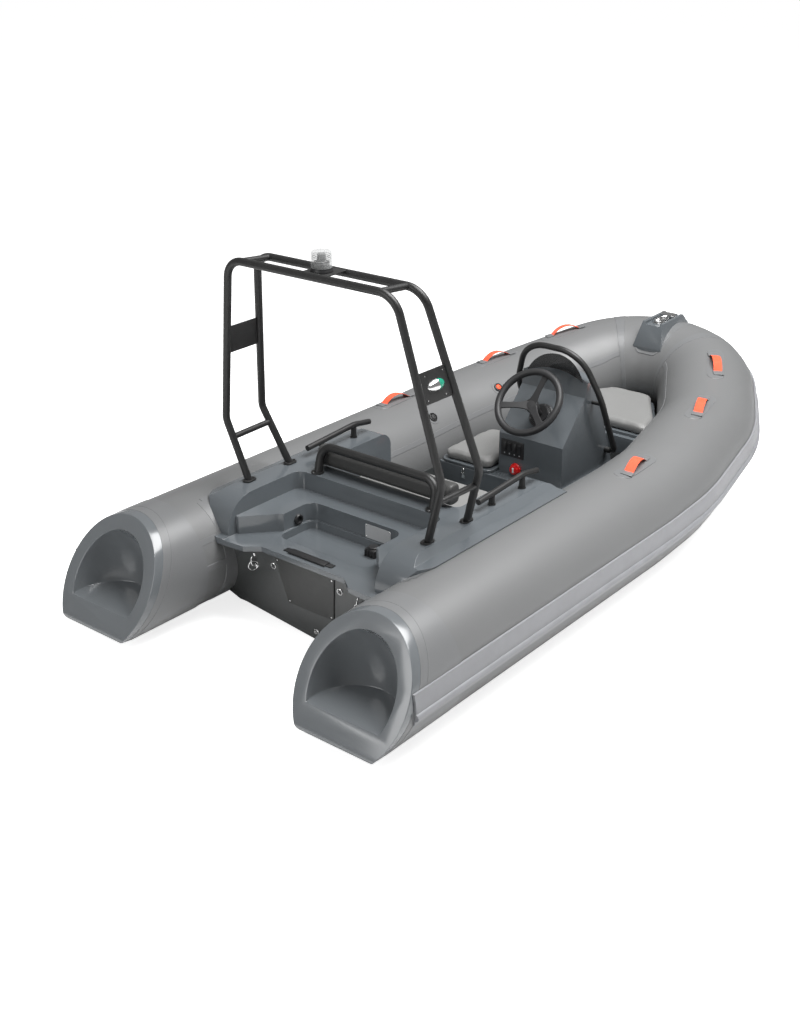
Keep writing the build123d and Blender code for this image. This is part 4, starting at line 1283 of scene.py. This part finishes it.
@dataclass
class SternArch:
    """Tubular arch with its plates and lights."""

    feet: tuple[tuple[float, float], ...] = ((0.485, -1.118), (0.485, -0.866))
    foot_top: float = 0.5568
    bolt_reach: float = 0.026
    light_normal: Colour = (0.978, -0.02, 0.207)    # square to the starboard plate

    def build(self) -> None:
        """Dress the arch and its lights."""
        for node in ("arch_hoop_aft", "arch_hoop_forward", "arch_ties"):
            dress_node(node, BLACK_FRAME)
        for node in ("arch_feet", "arch_plates", "light_shelf"):
            eased_copy(node, 0.0012, BLACK_FRAME)
        self.bolts()
        self.masthead()
        for node, side, lens in (("nav_light_green", Side.STARBOARD, GREEN),
                                 ("nav_light_red", Side.PORT, RED_LENS)):
            self.side_light(node, side, lens)
            self.plate_screws(node, side)

    def bolts(self) -> None:
        """Set two bolt heads in each foot."""
        mesh = bmesh.new()
        for side in Side:
            for x, y in self.feet:
                for reach in (-self.bolt_reach, self.bolt_reach):
                    add_turned(mesh, level(x * side.value, y + reach, self.foot_top),
                               [(0.0052, 0.0), (0.0052, 0.0028), (0.0034, 0.0040), (0.001, 0.0041)], 18)
        new_object("arch_bolts", mesh, BLACK_FRAME)

    def masthead(self) -> None:
        """Make the all-round light: a base, a clear dome and the lamp inside it."""
        low, _, centre, size = box_of("masthead_lens")
        base_low, base_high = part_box("masthead_base")
        step = base_high.z - base_low.z
        mesh = bmesh.new()
        add_turned(mesh, level(centre.x, centre.y, base_low.z),
                   [(0.0436, 0.0002), (0.0436, step * 0.45), (0.0415, step * 0.62), (0.0415, step),
                    (0.004, step)], 56)
        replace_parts(new_object("masthead_foot", mesh, BLACK_PLASTIC), "masthead_base")
        place = level(centre.x, centre.y, low.z)
        tall = size.z
        dome = bmesh.new()
        add_turned(dome, place, [(0.0405, 0.0), (0.0408, tall * 0.30), (0.0385, tall * 0.32),
                                 (0.0385, tall * 0.36), (0.0400, tall * 0.40), (0.0395, tall * 0.88),
                                 (0.0360, tall * 0.97), (0.026, tall), (0.003, tall)], 56)
        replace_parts(new_object("masthead_dome", dome, CLEAR, degrees=40.0), "masthead_lens")
        inner = bmesh.new()
        add_turned(inner, place, [(0.030, 0.001), (0.030, tall * 0.34), (0.018, tall * 0.38),
                                  (0.016, tall * 0.80), (0.003, tall * 0.84)], 40)
        new_object("masthead_lamp", inner, LAMP)
        bright = bmesh.new()
        for share in (0.50, 0.62, 0.74):
            add_tube(bright, circle(place, 0.0345, 40, tall * share), 0.0016, 8)
        new_object("masthead_ridges", bright, CLEAR)

    def light_place(self, node: str, side: Side) -> tuple[Matrix, Vector]:
        """Frame on the plate under a side light: x forward, z out of the plate.

        Args:
            node: The node's name.
            side: Which side of the boat.

        Returns:
            The frame, and the node's size.
        """
        _, _, centre, size = box_of(node)
        x, y, z = self.light_normal
        normal = Vector((x * side.value, y, z)).normalized()
        ahead = Vector((0.0, 1.0, 0.0))
        ahead = (ahead - normal * ahead.dot(normal)).normalized()
        axes = Matrix((ahead, normal.cross(ahead), normal)).transposed().to_4x4()
        return Matrix.Translation(centre - normal * 0.010) @ axes, size

    def side_light(self, node: str, side: Side, lens: Finish) -> None:
        """Make a side light: a bright teardrop cowl with its lens at the forward end.

        Args:
            node: The node's name.
            side: Which side of the boat.
            lens: The lens's finish.
        """
        place, size = self.light_place(node, side)
        cowl, glass, foot = bmesh.new(), bmesh.new(), bmesh.new()
        half = size.y / 2 - 0.001

        def shell(mesh: Mesh, shares: Sequence[float], reach: float, power: float,
                  scale: float) -> None:
            """Add one part of the teardrop: a half-round skin over shares of its length.

            Args:
                mesh: The mesh to add to.
                shares: Places along it, from -1 aft to 1 forward.
                reach: Where it tapers to nothing.
                power: How blunt the taper is.
                scale: Its size against the whole.
            """
            rows = []
            for share in shares:
                grow = max(0.02, (1 - ((share - 0.25) / reach) ** 2) ** power) * scale
                rows.append([place @ Vector((share * half, 0.023 * grow * math.cos(turn),
                                             0.0004 + 0.017 * grow * math.sin(turn)))
                             for turn in (math.pi * k / 16 for k in range(17))])
            skin_rows(rows, mesh=mesh)

        shell(cowl, (-1.0, -0.96, -0.85, -0.6, -0.3, 0.0, 0.18), 1.26, 0.6, 1.0)
        shell(glass, (0.18, 0.32, 0.45, 0.6, 0.75, 0.88, 0.96, 1.0), 0.76, 0.5, 0.97)
        rim = [place @ Vector((half * math.cos(turn), 0.0232 * math.sin(turn), 0.0006))
               for turn in (2 * math.pi * k / 56 for k in range(57))]
        add_tube(foot, rim, 0.0012, 8)
        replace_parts(new_object(node + "_cowl", cowl, CHROME), node)
        new_object(node + "_glass", glass, lens)
        new_object(node + "_gasket", foot, BLACK_PLASTIC)

    def plate_screws(self, node: str, side: Side) -> None:
        """Set a screw in each corner of the plate that carries a side light.

        Args:
            node: The node's name.
            side: Which side of the boat.
        """
        place, _ = self.light_place(node, side)
        mesh = bmesh.new()
        for x in (-0.052, 0.052):
            for y in (-0.046, 0.046):
                add_turned(mesh, place @ level(x, y, 0.0002),
                           [(0.0030, -0.001), (0.0028, 0.0010), (0.0010, 0.0014)], 14)
        new_object(node + "_screws", mesh, STEEL)


@dataclass
class Helm:
    """Forward box, console and what the helm carries."""

    dash_lean: float = math.atan2(0.200, 0.177)
    hub: Colour = (0.0945, 0.25316, 0.57735)
    standoff: float = 0.154
    rim: float = 0.1565
    rim_r: float = 0.0178
    sink: float = 0.030
    spokes: tuple[float, ...] = (79.0, 199.0, 319.0)

    def dash(self, lift: float) -> Matrix:
        """Frame at the helm on the sloping dash: y up the dash, z out of it."""
        normal = Vector((0.0, -math.sin(self.dash_lean), math.cos(self.dash_lean)))
        return plane_at(Vector(self.hub) + normal * lift, normal)

    def build(self) -> None:
        """Dress the console and its fittings."""
        eased_copy("locker_box", 0.008, GELCOAT)
        eased_copy("port_lid", 0.004, GELCOAT, body="side_seat")
        eased_copy("console", 0.010, GELCOAT)
        dress_node("windscreen", SMOKE)
        dress_node("console_rail", BLACK_FRAME)
        self.bezel()
        self.wheel()
        self.switches()
        self.knob()
        self.latch()

    def bezel(self) -> None:
        """Make the helm boot: a flange with screws and a ribbed cone."""
        mesh = bmesh.new()
        add_turned(mesh, self.dash(0.0004),
                   [(0.0185, 0.0), (0.0615, 0.0), (0.0615, 0.006), (0.0575, 0.009), (0.0500, 0.0105),
                    (0.0480, 0.020), (0.0440, 0.0215), (0.0425, 0.029), (0.0185, 0.0295)], 48)
        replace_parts(new_object("helm_boot", mesh, BLACK_PLASTIC, degrees=35.0), "helm_bezel")
        screws = bmesh.new()
        for k in range(6):
            turn = math.radians(30.0 + 60.0 * k)
            seat = level(0.0540 * math.cos(turn), 0.0540 * math.sin(turn), 0.0100)
            add_turned(screws, self.dash(0.0) @ seat, [(0.0030, 0.0), (0.0028, 0.0015), (0.0008, 0.0020)], 14)
        new_object("helm_screws", screws, STEEL)

    def wheel(self) -> None:
        """Make the wheel: padded rim, three dished spokes, hub cap and column."""
        place = self.dash(self.standoff)
        mesh = bmesh.new()
        rows = []
        for turn in (2 * math.pi * k / 96 for k in range(97)):
            out = Vector((math.cos(turn), math.sin(turn), 0.0))
            rows.append([place @ (out * (self.rim + 0.92 * self.rim_r * math.cos(a))
                                  + Vector((0.0, 0.0, self.rim_r * math.sin(a))))
                         for a in (2 * math.pi * j / 20 for j in range(20))])
        skin_rows(rows, True, mesh=mesh)
        thick = 0.0045
        for angle in self.spokes:
            turned = place @ Matrix.Rotation(math.radians(angle), 4, "Z")
            spoke = []
            for share in (k / 10 for k in range(11)):
                reach = 0.012 + (self.rim - 0.012) * share
                half = 0.0195 + 0.0085 * (1 - min(1.0, share / 0.45)) ** 2 - 0.004 * math.sin(math.pi * share)
                dish = -self.sink * (1 - share) ** 1.3
                flat = half * 0.82
                spoke.append([turned @ Vector((reach, y, dish + z)) for y, z in
                              ((-half, 0.0), (-flat, thick), (flat, thick), (half, 0.0), (flat, -thick),
                               (-flat, -thick))])
            skin_rows(spoke, True, True, mesh)
        add_turned(mesh, self.dash(self.standoff - self.sink), [
            (0.033, -0.021), (0.0335, -0.004), (0.0315, 0.0060), (0.0265, 0.0070), (0.0255, 0.0040),
            (0.0225, 0.0040), (0.0210, 0.0065), (0.006, 0.0082)], 48)
        under_hub = self.standoff - self.sink - 0.012
        add_turned(mesh, self.dash(0.001), [(0.0168, 0.0), (0.0168, 0.050), (0.024, 0.070),
                                            (0.030, under_hub), (0.010, under_hub + 0.002)], 32)
        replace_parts(new_object("wheel", mesh, GRIP, "helm", 42.0), "steering_wheel")

    def switches(self) -> None:
        """Make the switch panel: a raised frame, four rockers and a pip under each."""
        low, _, centre, size = box_of("switch_panel")
        face, rocker_z, pip_z = low.y, centre.z + 0.010, centre.z - 0.027
        mesh, pips = bmesh.new(), bmesh.new()
        add_block(mesh, Matrix.Translation(centre), (size.x, size.y - 0.0006, size.z), 0.0018)
        for k in range(4):
            x = centre.x + (k - 1.5) * 0.0285
            tilt = Matrix.Rotation(math.radians(9.0 if k % 2 else -9.0), 4, "X")
            add_block(mesh, level(x, face - 0.0006, rocker_z), (0.0225, 0.004, 0.048), 0.0015)
            add_block(mesh, level(x, face - 0.0035, rocker_z) @ tilt, (0.0170, 0.006, 0.038), 0.0015)
            add_block(pips, level(x, face - 0.0004, pip_z), (0.0062, 0.0012, 0.0062), 0.0003)
        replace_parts(new_object("rocker_panel", mesh, BLACK_PLASTIC), "switch_panel")
        new_object("rocker_pips", pips, GREY_PLATE)

    def knob(self) -> None:
        """Make the red battery switch: a round foot, a fluted knob and a pale mark."""
        _, high, centre, _ = box_of("battery_switch")
        place = plane_at((centre.x, high.y, centre.z), (0, -1, 0))
        foot, knob, mark = bmesh.new(), bmesh.new(), bmesh.new()
        add_turned(foot, place, [(0.0300, 0.0), (0.0300, 0.004), (0.0275, 0.0075), (0.0230, 0.0078)], 40)
        turns = [2 * math.pi * k / 112 for k in range(112)]
        fluted = [Vector((math.cos(turn), math.sin(turn), 0.0)) * (0.0222 + 0.0011 * math.cos(14 * turn))
                  for turn in turns]
        rows = [[place @ (point * grow + Vector((0.0, 0.0, height))) for point in fluted] for height, grow in
                ((0.007, 1.0), (0.018, 1.0), (0.0225, 0.94), (0.0238, 0.80), (0.0238, 0.05))]
        skin_rows(rows, True, True, knob)
        add_block(mark, place @ level(0.0, 0.0, 0.0240), (0.0095, 0.026, 0.0016), 0.0006)
        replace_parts(new_object("battery_knob", knob, RED, degrees=40.0), "battery_switch")
        new_object("battery_foot", foot, RED)
        new_object("battery_mark", mark, PALE)

    def latch(self) -> None:
        """Make the draw latch: a plate, a loop and a turned-up handle."""
        low, high, centre, size = box_of("locker_latch")
        mesh = bmesh.new()
        plate = level(centre.x, high.y - 0.0012, centre.z)
        add_block(mesh, plate, (0.021, 0.0020, size.z), 0.0008)
        lever = level(centre.x, high.y - 0.0058, centre.z - 0.012)
        add_block(mesh, lever @ Matrix.Rotation(math.radians(6.0), 4, "X"), (0.015, 0.0022, 0.030), 0.0008)
        loop = [Vector((centre.x + 0.0075 * math.cos(turn), high.y - 0.0052,
                        centre.z + 0.010 + 0.014 * math.sin(turn)))
                for turn in (2 * math.pi * k / 28 for k in range(29))]
        add_tube(mesh, loop, 0.0014, 8)
        for z in (low.z + 0.006, high.z - 0.005):
            add_turned(mesh, plane_at((centre.x, high.y - 0.0020, z), (0, -1, 0)),
                       [(0.0026, 0.0), (0.0024, 0.0010), (0.0008, 0.0014)], 12)
        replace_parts(new_object("draw_latch", mesh, STEEL), "locker_latch")


@dataclass
class Bow:
    """Bow locker, its lid and the anchor bracket."""

    channel_z: float = 0.722
    cleat_y: float = 1.542

    def build(self) -> None:
        """Dress the bow."""
        eased_copy("bow_locker", 0.006, GELCOAT)
        eased_copy("bow_lid", 0.004, GELCOAT, body="bow_seat")
        eased_copy("bow_bracket", 0.005, GELCOAT)
        dress_node("bow_roller", STEEL)
        self.cleat()

    def cleat(self) -> None:
        """Make the bright cleat in the bracket's channel: a looped bar on a plate."""
        mesh = bmesh.new()
        middle = level(0.0, self.cleat_y, self.channel_z)
        add_block(mesh, middle @ level(0.0, 0.0, 0.0016), (0.056, 0.110, 0.0026), 0.001)
        bar = [middle @ Vector((0.024 * math.sin(turn), 0.014 * math.sin(turn) + 0.050 * math.cos(turn),
                                0.0145 + 0.003 * math.cos(2 * turn)))
               for turn in (2 * math.pi * k / 48 for k in range(49))]
        add_tube(mesh, bar, 0.0052, 12)
        cross = [middle @ Vector((-0.020 + 0.040 * k / 8, 0.022 * math.sin(math.pi * (k / 4 - 1)), 0.0145))
                 for k in range(9)]
        add_tube(mesh, cross, 0.0048, 12)
        for reach in (-0.042, 0.042):
            add_turned(mesh, middle @ level(0.0, reach, 0.0028),
                       [(0.0045, 0.0), (0.0042, 0.0020), (0.0014, 0.0028)], 16)
        new_object("bow_cleat", mesh, STEEL)


@dataclass
class TubeFittings:
    """Webbing handles and inflation valves on the tube."""

    line: TubeLine
    lifts: tuple[float, ...] = (0.0028, 0.00195, 0.00195)
    skew: float = 8.0
    length: float = 0.205
    width: float = 0.044
    rise: float = 0.034
    tab: float = 0.026

    def seat(self, run: float, lift: float, side: Side) -> Matrix:
        """Frame under one handle: x along the webbing, z out of the tube."""
        turn = Matrix.Rotation(math.radians(self.skew) * side.value, 4, "Z")
        return self.line.seat(run, HANDLE_DEGREES, side) @ level(0, 0, lift) @ turn

    def build(self) -> None:
        """Make the handles and the valves."""
        for side in Side:
            straps, tabs = bmesh.new(), bmesh.new()
            for run, lift in zip(HANDLE_RUNS, self.lifts):
                place = self.seat(run, lift, side)
                self.strap(straps, place)
                for end in (-1, 1):
                    spot = level(end * (self.length / 2 - 0.010), 0, 0.0012)
                    add_block(tabs, place @ spot, (0.036, self.width + 0.010, 0.0054), 0.0014)
            node = "carry_handles_" + side.name.lower()
            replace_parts(new_object(node + "_straps", straps, ORANGE, degrees=60.0), node)
            new_object(node + "_tabs", tabs, TAPE)
        self.valves()

    def strap(self, mesh: Mesh, place: Matrix) -> None:
        """Add one arched strap, its two faces crowned across.

        Args:
            mesh: The mesh to add to.
            place: Frame to build in.
        """
        half = self.length / 2 - self.tab
        count = 40
        top, under = [], []
        uv = mesh.loops.layers.uv.verify()
        for k in range(count + 1):
            x = -self.length / 2 + self.length * k / count
            share = min(1.0, abs(x) / half)
            height = 0.0030 + (self.rise - 0.0030) * (1.0 - share ** 2.1)
            top.append([place @ Vector((x, y, height - 0.0012 * (y / self.width * 2) ** 4 - 0.0005))
                        for y in self.across()])
            under.append([place @ Vector((x, y, height - 0.0026)) for y in self.across()[::-1]])
        rows = [first + second for first, second in zip(top, under)]
        before = len(mesh.faces)
        skin_rows(rows, True, True, mesh)
        mesh.faces.ensure_lookup_table()
        back = place.inverted()
        for face in mesh.faces[before:]:
            for loop in face.loops:
                spot = back @ loop.vert.co
                loop[uv].uv = (spot.x, spot.y)

    def across(self) -> list[float]:
        """Places across a strap."""
        return [self.width * (k / 8 - 0.5) for k in range(9)]

    def valves(self) -> None:
        """Make the valves: a dished ring with a cap in it."""
        rings, greys, reds = bmesh.new(), bmesh.new(), bmesh.new()
        for run in VALVE_RUNS:
            place = self.line.seat(run, VALVE_DEGREES, Side.PORT)
            add_turned(rings, place, [(0.0240, 0.0), (0.0240, 0.004), (0.0222, 0.0075), (0.0190, 0.0080),
                                      (0.0165, 0.0050), (0.0150, 0.0005)], 44, False)
            cap = reds if run > 2.0 else greys
            add_turned(cap, place, [(0.0145, 0.0010), (0.0145, 0.0060), (0.0130, 0.0085), (0.0050, 0.0092),
                                    (0.0010, 0.0092)], 32)
            add_block(cap, place @ level(0, 0, 0.0100), (0.020, 0.005, 0.004), 0.0012)
        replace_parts(new_object("valve_rings", rings, BLACK_PLASTIC), "inflation_valves")
        new_object("valve_caps_grey", greys, GRIP)
        new_object("valve_caps_orange", reds, ORANGE_CAP)


@dataclass
class Studio:
    """Camera, pale floor and soft light."""

    place: Colour = (3.3832, -4.8166, 2.8320)
    turn: float = 39.372
    dip: float = 24.426
    roll: float = -0.3095
    lens: float = 60.72
    floor_size: float = 400.0
    floor_glow: float = 0.79
    sky: float = 0.26

    def camera(self) -> None:
        """Set the camera."""
        turn, dip, roll = (math.radians(v) for v in (self.turn, self.dip, self.roll))
        ahead = Vector((-math.sin(turn) * math.cos(dip), math.cos(turn) * math.cos(dip), -math.sin(dip)))
        right = Vector((math.cos(turn), math.sin(turn), 0.0))
        above = right.cross(ahead)
        level_right = right * math.cos(roll) + above * math.sin(roll)
        level_up = above * math.cos(roll) - right * math.sin(roll)
        data = bpy.data.cameras.new("camera")
        data.sensor_fit = "HORIZONTAL"
        data.sensor_width = 36.0
        data.lens = self.lens
        data.clip_end = 200.0
        camera = link("camera", data)
        axes = Matrix((level_right, level_up, -ahead)).transposed().to_4x4()
        camera.matrix_world = Matrix.Translation(Vector(self.place)) @ axes
        bpy.context.scene.camera = camera

    def floor(self) -> None:
        """Lay the floor: it glows white to the camera and takes the shadow."""
        mesh = bmesh.new()
        bmesh.ops.create_grid(mesh, x_segments=1, y_segments=1, size=self.floor_size / 2)
        data = bpy.data.meshes.new("floor")
        mesh.to_mesh(data)
        mesh.free()
        floor = link("floor", data)
        graph = Graph("floor_white")
        seen = graph.add("ShaderNodeLightPath", output="Is Camera Ray")
        glow = graph.blend(seen, (0.0, 0.0, 0.0), (1.0, 1.0, 1.0))
        graph.finish(Base_Color=(0.80, 0.80, 0.80), Roughness=0.9, Specular_IOR_Level=0.1,
                     Emission_Color=glow, Emission_Strength=self.floor_glow)
        data.materials.append(graph.material)

    def world(self) -> None:
        """Light from all round, white where it is seen."""
        world = bpy.data.worlds.new("studio")
        bpy.context.scene.world = world
        world.use_nodes = True
        tree = world.node_tree
        tree.nodes.clear()
        path = tree.nodes.new("ShaderNodeLightPath")
        seen = tree.nodes.new("ShaderNodeMath")
        seen.operation = "MAXIMUM"
        tree.links.new(path.outputs["Is Camera Ray"], seen.inputs[0])
        tree.links.new(path.outputs["Is Transmission Ray"], seen.inputs[1])
        mix = tree.nodes.new("ShaderNodeMixShader")
        soft = tree.nodes.new("ShaderNodeBackground")
        soft.inputs["Strength"].default_value = self.sky
        white = tree.nodes.new("ShaderNodeBackground")
        white.inputs["Strength"].default_value = 1.0
        out = tree.nodes.new("ShaderNodeOutputWorld")
        for background in (soft, white):
            background.inputs["Color"].default_value = (1.0, 1.0, 1.0, 1.0)
        tree.links.new(seen.outputs[0], mix.inputs["Fac"])
        tree.links.new(soft.outputs[0], mix.inputs[1])
        tree.links.new(white.outputs[0], mix.inputs[2])
        tree.links.new(mix.outputs[0], out.inputs["Surface"])

    def lamp(self, name: str, place: Colour, size: float, power: float) -> None:
        """Hang one area lamp that looks at the boat's middle.

        Args:
            name: The lamp's name.
            place: Where it hangs.
            size: Its width.
            power: Its power in watts.
        """
        data = bpy.data.lights.new(name, "AREA")
        data.shape = "DISK"
        data.size = size
        data.energy = power
        lamp = link(name, data)
        aim = (Vector((0.0, 0.0, 0.4)) - Vector(place)).normalized()
        turn = aim.to_track_quat("-Z", "Y").to_matrix().to_4x4()
        lamp.matrix_world = Matrix.Translation(Vector(place)) @ turn

    def build(self) -> None:
        """Set the camera, the floor and the light."""
        bpy.context.scene.view_settings.view_transform = "Standard"
        self.camera()
        self.floor()
        self.world()
        self.lamp("overhead", (1.8, 0.6, 6.0), 5.0, 750.0)
        self.lamp("astern", (-1.0, -7.0, 3.2), 3.5, 130.0)
        LOG.info("studio ready")


def main() -> None:
    """Build every sub-assembly in order."""
    logging.basicConfig(level=logging.INFO, format="%(message)s")
    Studio().build()
    for part in (Collar(LINE), EndCones(), HullShell(), SternMoulding(), SternArch(), Seating(), Helm(),
                 Bow(), TubeFittings(LINE)):
        part.build()
        LOG.info("dressed %s", type(part).__name__)


if __name__ == "__main__":
    main()
